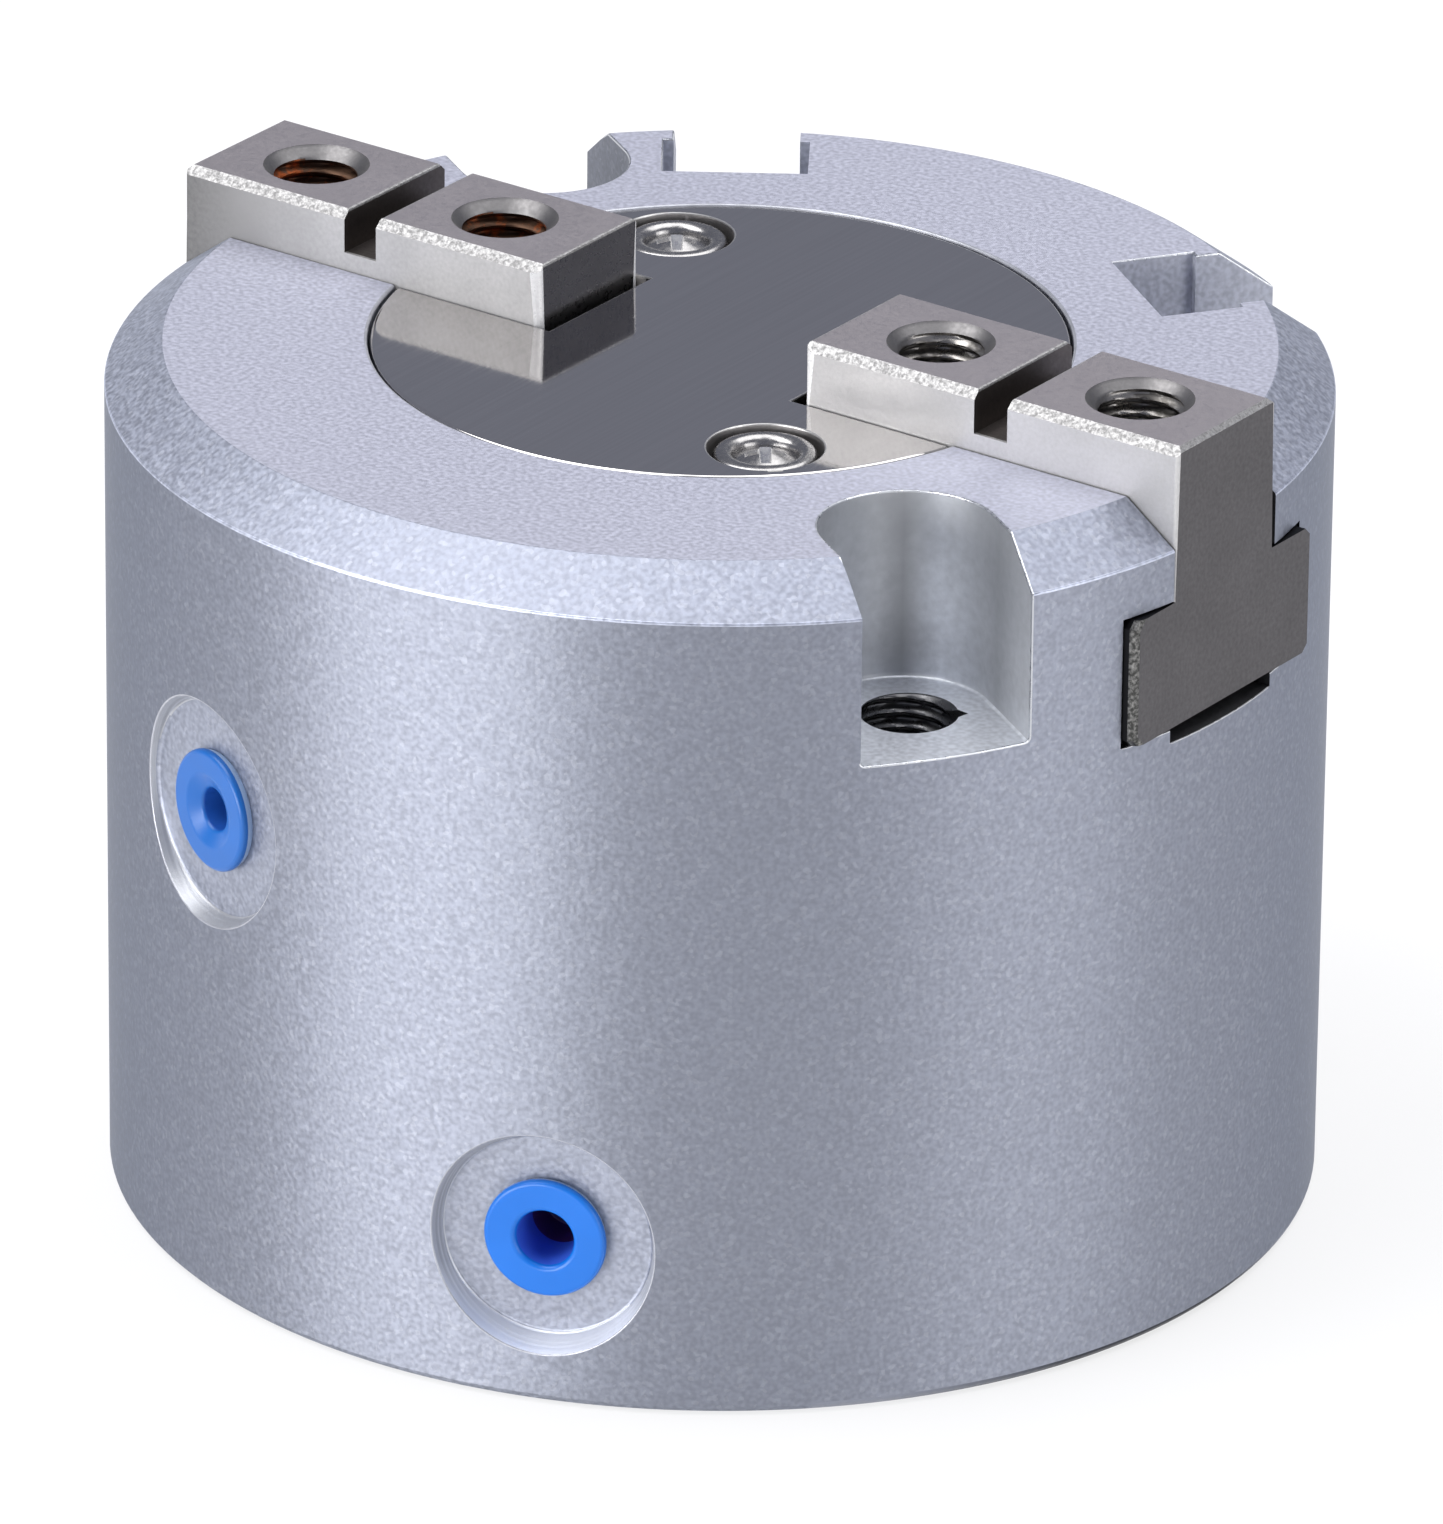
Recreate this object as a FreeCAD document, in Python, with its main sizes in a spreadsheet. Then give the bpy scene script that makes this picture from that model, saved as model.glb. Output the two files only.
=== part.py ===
import FreeCAD, Part
import math
import os
import re
import Sketcher

# A round pneumatic parallel gripper. A piston lifts a wedge cam, whose inclined T-slots
# draw two T-section fingers apart along the top of the housing.
# Frame: millimetres, +Z up the axis of the housing, origin on the mounting face at that axis.
# The fingers slide along X, the ports are on the -Y side and the switch grooves on the +Y side.
# Everything is drawn with the fingers closed and the piston at the bottom of its stroke.

# Driving dimensions, in millimetres and degrees
SIZES = {
    # Housing, its bore and what closes it
    "body_radius": 31.0,
    "body_height": 45.0,
    "top_chamfer_width": 2.9,
    "top_chamfer_drop": 2.16,
    "bottom_chamfer": 0.4,
    "bore_radius": 20.0,
    "chamber_top": 26.0,
    "pilot_radius": 21.0,
    "pilot_depth": 1.5,
    "edge_break": 0.2,
    # Strokes
    "piston_stroke": 4.0,
    "finger_stroke": 4.0,
    # End plate and its screws
    "plate_radius": 17.65,
    "plate_thickness": 3.15,
    "plate_sink": 0.05,
    "plate_gap": 0.12,
    "plate_slot_half_width": 4.35,
    "plate_slot_end": 7.5,
    "screw_offset": 9.9,
    "screw_sink_radius": 2.93,
    "screw_sink_depth": 1.85,
    "screw_head_radius": 2.6,
    "screw_head_height": 1.75,
    "screw_clear_radius": 1.6,
    "screw_shank_radius": 1.2,
    "screw_tap_radius": 1.25,
    "screw_length": 6.0,
    "screw_hole_depth": 6.0,
    # Fingers and the T-slot that guides them
    "finger_inner": 8.2,
    "finger_outer": 30.7,
    "finger_top": 48.2,
    "stem_half_width": 4.25,
    "flange_half_width": 7.65,
    "flange_top": 40.05,
    "flange_bottom": 33.3,
    "flange_chamfer": 0.4,
    "finger_chamfer": 0.45,
    "finger_edge_break": 0.15,
    "finger_corner_round": 0.5,
    "slide_gap": 0.06,
    "relief_half_width": 4.4,
    "relief_depth": 0.7,
    "jaw_hole_inner": 13.5,
    "jaw_hole_spacing": 12.0,
    "jaw_hole_radius": 2.1,
    "jaw_hole_depth": 9.0,
    "jaw_hole_tip": 1.2,
    "jaw_sink_radius": 2.75,
    "key_slot_width": 2.0,
    "key_slot_depth": 2.25,
    # Wedge cam and the hooks of the fingers
    "cam_top": 37.6,
    "cam_bottom": 29.6,
    "cam_top_half_length": 5.6,
    "cam_half_width": 5.4,
    "hook_neck_half_width": 1.8,
    "hook_neck_depth": 1.6,
    "hook_head_half_width": 3.3,
    "hook_head_depth": 1.9,
    "hook_gap": 0.06,
    "flank_gap": 0.25,
    "under_plate_gap": 0.2,
    "cam_pocket_half_length": 14.4,
    "cam_pocket_half_width": 5.9,
    "cam_pocket_floor": 29.2,
    "cam_thread_radius": 2.55,
    "cam_thread_depth": 6.0,
    # Piston, rod and what they carry
    "piston_bottom": 8.5,
    "piston_top": 21.5,
    "piston_radius": 19.7,
    "step_radius": 17.5,
    "land_bottom": 11.3,
    "land_top": 20.5,
    "wear_bottom": 12.0,
    "wear_top": 13.9,
    "wear_groove_radius": 18.2,
    "magnet_bottom": 14.6,
    "magnet_top": 17.0,
    "magnet_groove_radius": 16.5,
    "magnet_radius": 19.3,
    "seal_bottom": 17.7,
    "seal_top": 19.8,
    "seal_groove_radius": 17.0,
    "rubbing_radius": 19.95,
    "seat_gap": 0.03,
    "seal_lip_width": 0.9,
    "seal_lip_drop": 0.15,
    "seal_lip_height": 0.25,
    "wear_ring_angle": 356.0,
    "magnet_strip_angle": 357.0,
    "bumper_inner_radius": 9.0,
    "bumper_outer_radius": 13.0,
    "bumper_depth": 1.5,
    "bumper_proud": 0.4,
    "rod_radius": 5.0,
    "rod_hole_radius": 5.06,
    "rod_groove_radius": 6.45,
    "rod_groove_bottom": 26.7,
    "rod_groove_height": 1.6,
    "bolt_hole_radius": 2.7,
    "bolt_radius": 2.5,
    "bolt_seat": 15.1,
    "bolt_end": 35.2,
    "bolt_head_radius": 4.25,
    "bolt_head_height": 5.0,
    "bolt_socket_width": 4.0,
    "bolt_socket_depth": 2.5,
    "bolt_head_bore": 4.8,
    "washer_radius": 4.6,
    "washer_thickness": 1.2,
    "washer_angle": 350.0,
    # Bottom cap and its ring
    "cap_radius": 19.94,
    "cap_bottom": 3.85,
    "cap_top": 8.0,
    "cap_groove_bottom": 4.75,
    "cap_groove_height": 1.8,
    "cap_groove_radius": 18.5,
    "cap_chamfer": 0.5,
    "ring_groove_radius": 21.25,
    "ring_groove_bottom": 2.05,
    "ring_thickness": 1.7,
    "ring_gap_below": 0.1,
    "ring_gap_above": 0.05,
    "ring_radius": 21.1,
    "ring_hole_radius": 18.9,
    "ring_hole_shift": 0.5,
    "ring_gap_half_width": 4.4,
    "ring_lug_radius": 1.9,
    "ring_lug_offset": 5.6,
    "ring_lug_reach": 17.4,
    "ring_lug_hole": 0.9,
    # Mounting holes, switch grooves and ports
    "mount_angle": -33.0,
    "mount_circle_radius": 25.4,
    "mount_hole_radius": 2.65,
    "counterbore_radius": 4.45,
    "counterbore_depth": 10.0,
    "right_switch_angle": 54.0,
    "left_switch_angle": 124.0,
    "switch_floor": 22.2,
    "switch_lip": 26.6,
    "switch_half_width": 3.8,
    "switch_mouth_half_width": 3.28,
    "upper_port_angle": -109.7,
    "upper_port_height": 26.5,
    "upper_spotface_floor": 30.0,
    "lower_port_angle": -70.3,
    "lower_port_height": 8.65,
    "lower_spotface_floor": 29.5,
    "port_radius": 2.1,
    "port_end": 18.5,
    "port_tip": 1.2,
    "port_lead": 0.4,
    "spotface_radius": 5.7,
    "spotface_corner": 0.25,
    # Port plugs
    "plug_flange_radius": 3.13,
    "plug_flange_thickness": 0.8,
    "plug_radius": 2.05,
    "plug_end": 24.6,
    "plug_nose": 0.6,
    "plug_hole_radius": 1.5,
    "plug_wall": 1.0,
    "plug_round": 0.2,
}

# How far a cutting sketch reaches past the solid that it cuts
OVERSHOOT = 1.0
FULL_TURN = 360.0
HEX_SIDES = 6
SEAL_SIDES = 8
# Two places closer than this are the same place
TOLERANCE = 1e-6
X_AXIS = FreeCAD.Vector(1, 0, 0)
Y_AXIS = FreeCAD.Vector(0, 1, 0)
Z_AXIS = FreeCAD.Vector(0, 0, 1)

doc = FreeCAD.newDocument("ParallelGripper")
sheet = doc.addObject("Spreadsheet::Sheet", "Sizes")
for row, (alias, value) in enumerate(SIZES.items(), start=1):
    sheet.set(f"A{row}", alias)
    sheet.set(f"B{row}", str(value))
    sheet.setAlias(f"B{row}", alias)
doc.recompute()


def size(alias):
    """The number in the sheet's cell of that name."""
    return float(sheet.get(alias))


def bind(expression):
    """The expression with each alias pointed at the sheet."""
    def point_at_sheet(match):
        word = match.group(0)
        return "Sizes." + word if word in SIZES else word
    return re.sub(r"[a-z_]+", point_at_sheet, expression)


def new_body(label):
    body = doc.addObject("PartDesign::Body", label)
    body.Label = label
    return body


def origin_plane(body, role):
    for feature in body.Origin.OriginFeatures:
        if feature.Role == role:
            return feature
    raise ValueError(role)


def sketch(body, name, role, shift=None, turn=None):
    """A sketch on an origin plane. shift gives offsets in the plane's own axes, and
    turn an axis of the plane with the angle about it."""
    drawing = body.newObject("Sketcher::SketchObject", name)
    drawing.AttachmentSupport = [(origin_plane(body, role), "")]
    drawing.MapMode = "FlatFace"
    if turn:
        axis, angle = turn
        drawing.AttachmentOffset = FreeCAD.Placement(FreeCAD.Vector(), FreeCAD.Rotation(axis, 1.0))
        drawing.setExpression("AttachmentOffset.Rotation.Angle", bind(angle))
    for direction, amount in (shift or {}).items():
        drawing.setExpression(f"AttachmentOffset.Base.{direction}", bind(amount))
    return drawing


def fix_point(drawing, geometry, vertex, x, y):
    """Hold a vertex at two expressions, measured from the sketch's origin."""
    for kind, expression in (("DistanceX", x), ("DistanceY", y)):
        number = drawing.addConstraint(Sketcher.Constraint(kind, -1, 1, geometry, vertex, 1.0))
        drawing.setExpression(f"Constraints[{number}]", bind(expression))


def fix_radius(drawing, geometry, radius):
    number = drawing.addConstraint(Sketcher.Constraint("Radius", geometry, 1.0))
    drawing.setExpression(f"Constraints[{number}]", bind(radius))


def polygon(drawing, points):
    """A closed outline of straight lines through points given as pairs of expressions."""
    count = len(points)
    first = drawing.GeometryCount
    angles = [2.0 * math.pi * index / count for index in range(count)]
    start = [FreeCAD.Vector(math.cos(angle), math.sin(angle), 0) for angle in angles]
    for index in range(count):
        drawing.addGeometry(Part.LineSegment(start[index], start[(index + 1) % count]))
    for index in range(count):
        following = first + (index + 1) % count
        drawing.addConstraint(Sketcher.Constraint("Coincident", first + index, 2, following, 1))
    for index, (x, y) in enumerate(points):
        fix_point(drawing, first + index, 1, x, y)


def rectangle(drawing, left, bottom, right, top):
    polygon(drawing, [(left, bottom), (right, bottom), (right, top), (left, top)])


def circle(drawing, x, y, radius):
    ring = drawing.addGeometry(Part.Circle(FreeCAD.Vector(1, 1, 0), Z_AXIS, 1.0))
    fix_point(drawing, ring, 3, x, y)
    fix_radius(drawing, ring, radius)


def open_slot(drawing, centre, radius, reach):
    """A round-ended slot along the sketch's x axis, from its round end out to reach."""
    x, r, tip = size("mount_circle_radius"), size("counterbore_radius"), size("body_radius")
    full_circle = Part.Circle(FreeCAD.Vector(x, 0, 0), Z_AXIS, r)
    arc = drawing.addGeometry(Part.ArcOfCircle(full_circle, math.pi / 2, 3 * math.pi / 2))
    corners = [FreeCAD.Vector(x, -r, 0), FreeCAD.Vector(tip, -r, 0),
               FreeCAD.Vector(tip, r, 0), FreeCAD.Vector(x, r, 0)]
    sides = [Part.LineSegment(corners[i], corners[i + 1]) for i in range(3)]
    lower, end, upper = [drawing.addGeometry(side) for side in sides]
    drawing.addConstraint(Sketcher.Constraint("Tangent", arc, 2, lower, 1))
    drawing.addConstraint(Sketcher.Constraint("Coincident", lower, 2, end, 1))
    drawing.addConstraint(Sketcher.Constraint("Coincident", end, 2, upper, 1))
    drawing.addConstraint(Sketcher.Constraint("Tangent", upper, 2, arc, 1))
    drawing.addConstraint(Sketcher.Constraint("Horizontal", lower))
    drawing.addConstraint(Sketcher.Constraint("Horizontal", upper))
    drawing.addConstraint(Sketcher.Constraint("Vertical", end))
    fix_point(drawing, arc, 3, centre, "0")
    fix_radius(drawing, arc, radius)
    number = drawing.addConstraint(Sketcher.Constraint("DistanceX", -1, 1, end, 1, tip))
    drawing.setExpression(f"Constraints[{number}]", bind(reach))


def pad(body, name, profile, length, symmetric=False, lean=None):
    """Extrude a sketch. lean is the direction of a slanted extrusion, its length along the normal."""
    feature = body.newObject("PartDesign::Pad", name)
    feature.Profile = profile
    feature.setExpression("Length", bind(length))
    if symmetric:
        feature.SideType = "Symmetric"
    if lean:
        feature.UseCustomVector = True
        feature.Direction = lean
        feature.AlongSketchNormal = True
    doc.recompute()
    return feature


def check_cut(body, feature, volume_before):
    """A cut that points the wrong way removes nothing and gives no error."""
    doc.recompute()
    if not feature.Shape.Volume < volume_before - TOLERANCE:
        raise RuntimeError(f"{body.Label}: {feature.Name} removes nothing")
    return feature


def pocket(body, name, profile, length, symmetric=False, upward=False, lean=None):
    volume_before = body.Shape.Volume
    feature = body.newObject("PartDesign::Pocket", name)
    feature.Profile = profile
    feature.setExpression("Length", bind(length))
    if symmetric:
        feature.SideType = "Symmetric"
    feature.Reversed = upward
    if lean:
        feature.UseCustomVector = True
        feature.Direction = lean
        feature.AlongSketchNormal = True
    return check_cut(body, feature, volume_before)


def revolve(body, name, profile, axis="V_Axis", angle=None):
    feature = body.newObject("PartDesign::Revolution", name)
    feature.Profile = profile
    feature.ReferenceAxis = (profile, [axis])
    feature.Angle = FULL_TURN
    if angle:
        feature.setExpression("Angle", bind(angle))
    doc.recompute()
    return feature


def groove(body, name, profile, axis="V_Axis"):
    volume_before = body.Shape.Volume
    feature = body.newObject("PartDesign::Groove", name)
    feature.Profile = profile
    feature.ReferenceAxis = (profile, [axis])
    feature.Angle = FULL_TURN
    return check_cut(body, feature, volume_before)


def mirror_across_x(body, name, features):
    """Repeat cuts on the other side of the plane X = 0."""
    volume_before = body.Shape.Volume
    feature = body.newObject("PartDesign::Mirrored", name)
    feature.Originals = features
    feature.MirrorPlane = (origin_plane(body, "YZ_Plane"), [""])
    body.Tip = feature
    return check_cut(body, feature, volume_before)


def dress_edges(body, kind, name, wanted, amount):
    """Chamfer or fillet the straight edges that wanted picks by their two ends."""
    base = body.Tip
    picked = []
    for number, edge in enumerate(base.Shape.Edges, start=1):
        if len(edge.Vertexes) == 2 and wanted(edge.Vertexes[0].Point, edge.Vertexes[1].Point):
            picked.append(f"Edge{number}")
    feature = body.newObject(f"PartDesign::{kind}", name)
    feature.Base = (base, picked)
    feature.setExpression("Size" if kind == "Chamfer" else "Radius", bind(amount))
    doc.recompute()
    return feature


def turned_part(label, points, angle=None):
    """A ring or shaft turned about the axis of the housing from a half section (radius, height)."""
    body = new_body(label)
    section = sketch(body, label + "_section", "XZ_Plane")
    polygon(section, points)
    revolve(body, label + "_turning", section, angle=angle)
    return body


def ring_section(inner, outer, bottom, top):
    return [(inner, bottom), (outer, bottom), (outer, top), (inner, top)]


def port_sketch(body, name, port):
    """A sketch in the plane of a port's axis, x outward along that axis."""
    height = {"y": f"{port}_port_height"}
    return sketch(body, name, "XZ_Plane", shift=height, turn=(Y_AXIS, f"{port}_port_angle"))


PLATE_BOTTOM = "(body_height - plate_sink - plate_thickness)"
RING_BOTTOM = "(ring_groove_bottom + ring_gap_below)"
RING_GROOVE_TOP = f"({RING_BOTTOM} + ring_thickness + ring_gap_above)"
SLOPE = "finger_stroke / piston_stroke"
CAM_FOOT_HALF_LENGTH = f"(cam_top_half_length + (cam_top - cam_bottom) * {SLOPE})"
FLANK_AT_FLANGE = f"(cam_top_half_length + (cam_top - flange_bottom) * {SLOPE})"
WEDGE_DIRECTION = FreeCAD.Vector(-size("finger_stroke") / size("piston_stroke"), 0, 1)


def make_housing():
    """The round aluminium body: bored from below, T-slotted across the top, with its ports and grooves."""
    body = new_body("housing")
    section = sketch(body, "housing_section", "XZ_Plane")
    polygon(section, [
        ("pilot_radius", "0"),
        ("body_radius - bottom_chamfer", "0"),
        ("body_radius", "bottom_chamfer"),
        ("body_radius", "body_height - top_chamfer_drop"),
        ("body_radius - top_chamfer_width", "body_height"),
        ("plate_radius + plate_gap + edge_break", "body_height"),
        ("plate_radius + plate_gap", "body_height - edge_break"),
        ("plate_radius + plate_gap", PLATE_BOTTOM),
        ("rod_hole_radius", PLATE_BOTTOM),
        ("rod_hole_radius", "rod_groove_bottom + rod_groove_height"),
        ("rod_groove_radius", "rod_groove_bottom + rod_groove_height"),
        ("rod_groove_radius", "rod_groove_bottom"),
        ("rod_hole_radius", "rod_groove_bottom"),
        ("rod_hole_radius", "chamber_top"),
        ("bore_radius", "chamber_top"),
        ("bore_radius", RING_GROOVE_TOP),
        ("ring_groove_radius", RING_GROOVE_TOP),
        ("ring_groove_radius", "ring_groove_bottom"),
        ("bore_radius", "ring_groove_bottom"),
        ("bore_radius", "pilot_depth"),
        ("pilot_radius", "pilot_depth"),
    ])
    revolve(body, "housing_turning", section)

    cam_room = sketch(body, "cam_room", "XY_Plane", shift={"z": PLATE_BOTTOM})
    rectangle(cam_room, "-cam_pocket_half_length", "-cam_pocket_half_width",
              "cam_pocket_half_length", "cam_pocket_half_width")
    pocket(body, "cam_pocket", cam_room, f"{PLATE_BOTTOM} - cam_pocket_floor")

    tee = sketch(body, "finger_way_section", "YZ_Plane")
    stem = "(stem_half_width + slide_gap)"
    flange = "(flange_half_width + slide_gap)"
    shoulder = "flange_top + slide_gap"
    floor = "flange_bottom - slide_gap"
    relief = "flange_bottom - slide_gap - relief_depth"
    polygon(tee, [
        (stem, f"body_height + {OVERSHOOT}"), (stem, shoulder), (flange, shoulder), (flange, floor),
        ("relief_half_width", floor), ("relief_half_width", relief),
        ("-relief_half_width", relief), ("-relief_half_width", floor),
        ("-" + flange, floor), ("-" + flange, shoulder), ("-" + stem, shoulder),
        ("-" + stem, f"body_height + {OVERSHOOT}"),
    ])
    pocket(body, "finger_way", tee, f"2 * (body_radius + {OVERSHOOT})", symmetric=True)

    taps = sketch(body, "plate_screw_taps", "XY_Plane", shift={"z": PLATE_BOTTOM})
    circle(taps, "screw_offset", "-screw_offset", "screw_tap_radius")
    circle(taps, "-screw_offset", "screw_offset", "screw_tap_radius")
    pocket(body, "plate_screw_holes", taps, "screw_hole_depth")

    top_face = {"z": "body_height"}
    mount_turn = (Z_AXIS, "mount_angle")
    seat = sketch(body, "counterbore_outline", "XY_Plane", shift=top_face, turn=mount_turn)
    open_slot(seat, "mount_circle_radius", "counterbore_radius", f"body_radius + {OVERSHOOT}")
    counterbore = pocket(body, "counterbore", seat, "counterbore_depth")
    hole = sketch(body, "mounting_hole_outline", "XY_Plane", shift=top_face, turn=mount_turn)
    circle(hole, "mount_circle_radius", "0", "mount_hole_radius")
    mounting_hole = pocket(body, "mounting_hole", hole, f"body_height + {OVERSHOOT}")
    pair = body.newObject("PartDesign::PolarPattern", "mounting_pair")
    pair.Originals = [counterbore, mounting_hole]
    pair.Axis = (hole, ["N_Axis"])
    pair.Angle = FULL_TURN
    pair.Occurrences = 2
    body.Tip = pair
    doc.recompute()

    mouth = f"body_radius + {OVERSHOOT}"
    for side in ("right", "left"):
        switch = sketch(body, f"{side}_switch_groove_outline", "XY_Plane", shift=top_face,
                        turn=(Z_AXIS, f"{side}_switch_angle"))
        polygon(switch, [
            ("switch_floor", "-switch_half_width"), ("switch_lip", "-switch_half_width"),
            ("switch_lip", "-switch_mouth_half_width"), (mouth, "-switch_mouth_half_width"),
            (mouth, "switch_mouth_half_width"), ("switch_lip", "switch_mouth_half_width"),
            ("switch_lip", "switch_half_width"), ("switch_floor", "switch_half_width"),
        ])
        pocket(body, f"{side}_switch_groove", switch, f"body_height + {OVERSHOOT}")

    for port in ("upper", "lower"):
        bore = port_sketch(body, f"{port}_port_section", port)
        floor = f"{port}_spotface_floor"
        polygon(bore, [
            ("port_end", "0"), ("port_end + port_tip", "port_radius"),
            (f"{floor} - port_lead", "port_radius"), (floor, "port_radius + port_lead"),
            (floor, "spotface_radius - spotface_corner"), (f"{floor} + spotface_corner", "spotface_radius"),
            (mouth, "spotface_radius"), (mouth, "0"),
        ])
        groove(body, f"{port}_port", bore, axis="H_Axis")
    return body


def make_end_plate():
    """The flush steel disc over the cam, slotted for the two fingers."""
    body = new_body("end_plate")
    disc = sketch(body, "plate_disc", "XZ_Plane")
    top = "(body_height - plate_sink)"
    polygon(disc, [
        ("0", PLATE_BOTTOM), ("plate_radius", PLATE_BOTTOM), ("plate_radius", f"{top} - edge_break"),
        ("plate_radius - edge_break", top), ("0", top),
    ])
    revolve(body, "plate_turning", disc)
    ways = sketch(body, "plate_finger_ways", "XY_Plane", shift={"z": top})
    reach = f"plate_radius + {OVERSHOOT}"
    through = f"plate_thickness + {OVERSHOOT}"
    rectangle(ways, "plate_slot_end", "-plate_slot_half_width", reach, "plate_slot_half_width")
    rectangle(ways, f"-({reach})", "-plate_slot_half_width", "-plate_slot_end", "plate_slot_half_width")
    pocket(body, "plate_slots", ways, through)
    for name, radius, depth in (("screw_sinks", "screw_sink_radius", "screw_sink_depth"),
                                ("screw_clearances", "screw_clear_radius", through)):
        holes = sketch(body, f"{name}_outline", "XY_Plane", shift={"z": top})
        circle(holes, "screw_offset", "-screw_offset", radius)
        circle(holes, "-screw_offset", "screw_offset", radius)
        pocket(body, name, holes, depth)
    return body


def make_plate_screw(name, x, y):
    """One low-head screw of the end plate, turned about its own axis."""
    body = new_body(name)
    section = sketch(body, name + "_section", "XZ_Plane", shift={"x": x, "z": f"-({y})"})
    seat = "(body_height - plate_sink - screw_sink_depth)"
    head = f"({seat} + screw_head_height)"
    polygon(section, [
        ("0", f"{seat} - screw_length"), ("screw_shank_radius", f"{seat} - screw_length"),
        ("screw_shank_radius", seat), ("screw_head_radius", seat),
        ("screw_head_radius", f"{head} - edge_break"), ("screw_head_radius - edge_break", head), ("0", head),
    ])
    revolve(body, name + "_turning", section)
    return body


def make_end_plate_screws():
    group = doc.addObject("Part::Compound", "end_plate_screws")
    group.Links = [make_plate_screw("front_plate_screw", "screw_offset", "-screw_offset"),
                   make_plate_screw("back_plate_screw", "-screw_offset", "screw_offset")]
    group.Label = "end_plate_screws"
    return group


def make_right_finger():
    """A T-section slider: tapped jaw face above the housing, flange in the way, hook on the cam."""
    body = new_body("right_finger")
    inner_end = "(cam_top_half_length + flank_gap)"
    tee = sketch(body, "finger_section", "YZ_Plane", shift={"z": inner_end})
    right_half = [
        ("stem_half_width", "finger_top"), ("stem_half_width", "flange_top"),
        ("flange_half_width - flange_chamfer", "flange_top"),
        ("flange_half_width", "flange_top - flange_chamfer"),
        ("flange_half_width", "flange_bottom + flange_chamfer"),
        ("flange_half_width - flange_chamfer", "flange_bottom"),
    ]
    left_half = [(f"-({y})", z) for y, z in reversed(right_half)]
    polygon(tee, right_half + left_half)
    pad(body, "finger_bar", tee, f"finger_outer - {inner_end}")

    # The end is cut parallel to the wedge below, and short of the end plate's slot above.
    side = sketch(body, "finger_end_cuts", "XZ_Plane")
    polygon(side, [
        (f"{inner_end} - {OVERSHOOT} * {SLOPE}", f"cam_top + {OVERSHOOT}"),
        (f"{inner_end} - {OVERSHOOT} * {SLOPE}", f"flange_bottom - {OVERSHOOT}"),
        (f"{FLANK_AT_FLANGE} + flank_gap + {OVERSHOOT} * {SLOPE}", f"flange_bottom - {OVERSHOOT}"),
    ])
    rectangle(side, f"{inner_end} - {OVERSHOOT}", f"{PLATE_BOTTOM} - under_plate_gap",
              "finger_inner", f"finger_top + {OVERSHOOT}")
    pocket(body, "finger_end", side, f"2 * (flange_half_width + {OVERSHOOT})", symmetric=True)

    hook = sketch(body, "hook_section", "XY_Plane", shift={"z": "flange_bottom"})
    root = f"({FLANK_AT_FLANGE} + 2 * flank_gap)"
    neck = f"({FLANK_AT_FLANGE} - hook_neck_depth - hook_gap)"
    head = f"({FLANK_AT_FLANGE} - hook_neck_depth - hook_head_depth + hook_gap)"
    neck_half = "(hook_neck_half_width - hook_gap)"
    head_half = "(hook_head_half_width - hook_gap)"
    polygon(hook, [
        (root, "-" + neck_half), (root, neck_half), (neck, neck_half), (neck, head_half),
        (head, head_half), (head, "-" + head_half), (neck, "-" + head_half), (neck, "-" + neck_half),
    ])
    pad(body, "hook", hook, "cam_top - flange_bottom", lean=WEDGE_DIRECTION)

    middle = "(jaw_hole_inner + jaw_hole_spacing / 2)"
    key = sketch(body, "key_slot_section", "XZ_Plane")
    rectangle(key, f"{middle} - key_slot_width / 2", "finger_top - key_slot_depth",
              f"{middle} + key_slot_width / 2", f"finger_top + {OVERSHOOT}")
    pocket(body, "key_slot", key, f"2 * (stem_half_width + {OVERSHOOT})", symmetric=True)

    top = size("finger_top")
    inner_face = size("finger_inner")

    def on_top(start, end):
        return abs(start.z - top) < TOLERANCE and abs(end.z - top) < TOLERANCE

    def along_finger(start, end):
        return on_top(start, end) and abs(start.y - end.y) < TOLERANCE

    def across_finger(start, end):
        return on_top(start, end) and abs(start.x - end.x) < TOLERANCE

    def inner_corner(start, end):
        upright = abs(start.x - end.x) < TOLERANCE and abs(start.y - end.y) < TOLERANCE
        return upright and abs(start.x - inner_face) < TOLERANCE

    dress_edges(body, "Chamfer", "jaw_chamfer", along_finger, "finger_chamfer")
    dress_edges(body, "Chamfer", "jaw_edge_break", across_finger, "finger_edge_break")
    dress_edges(body, "Fillet", "jaw_corner", inner_corner, "finger_corner_round")

    hole = sketch(body, "jaw_hole_section", "XZ_Plane", shift={"x": "jaw_hole_inner"})
    polygon(hole, [
        ("0", "finger_top"), ("jaw_sink_radius", "finger_top"),
        ("jaw_hole_radius", "finger_top - jaw_sink_radius + jaw_hole_radius"),
        ("jaw_hole_radius", "finger_top - jaw_hole_depth"),
        ("0", "finger_top - jaw_hole_depth - jaw_hole_tip"),
    ])
    inner_hole = groove(body, "inner_jaw_hole", hole)
    row = body.newObject("PartDesign::LinearPattern", "jaw_holes")
    row.Originals = [inner_hole]
    row.Direction = (hole, ["H_Axis"])
    row.setExpression("Length", bind("jaw_hole_spacing"))
    row.Occurrences = 2
    body.Tip = row
    doc.recompute()
    return body


def make_left_finger(right_finger):
    mirrored = doc.addObject("Part::Mirroring", "left_finger")
    mirrored.Source = right_finger
    mirrored.Normal = X_AXIS
    mirrored.Label = "left_finger"
    return mirrored


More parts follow.
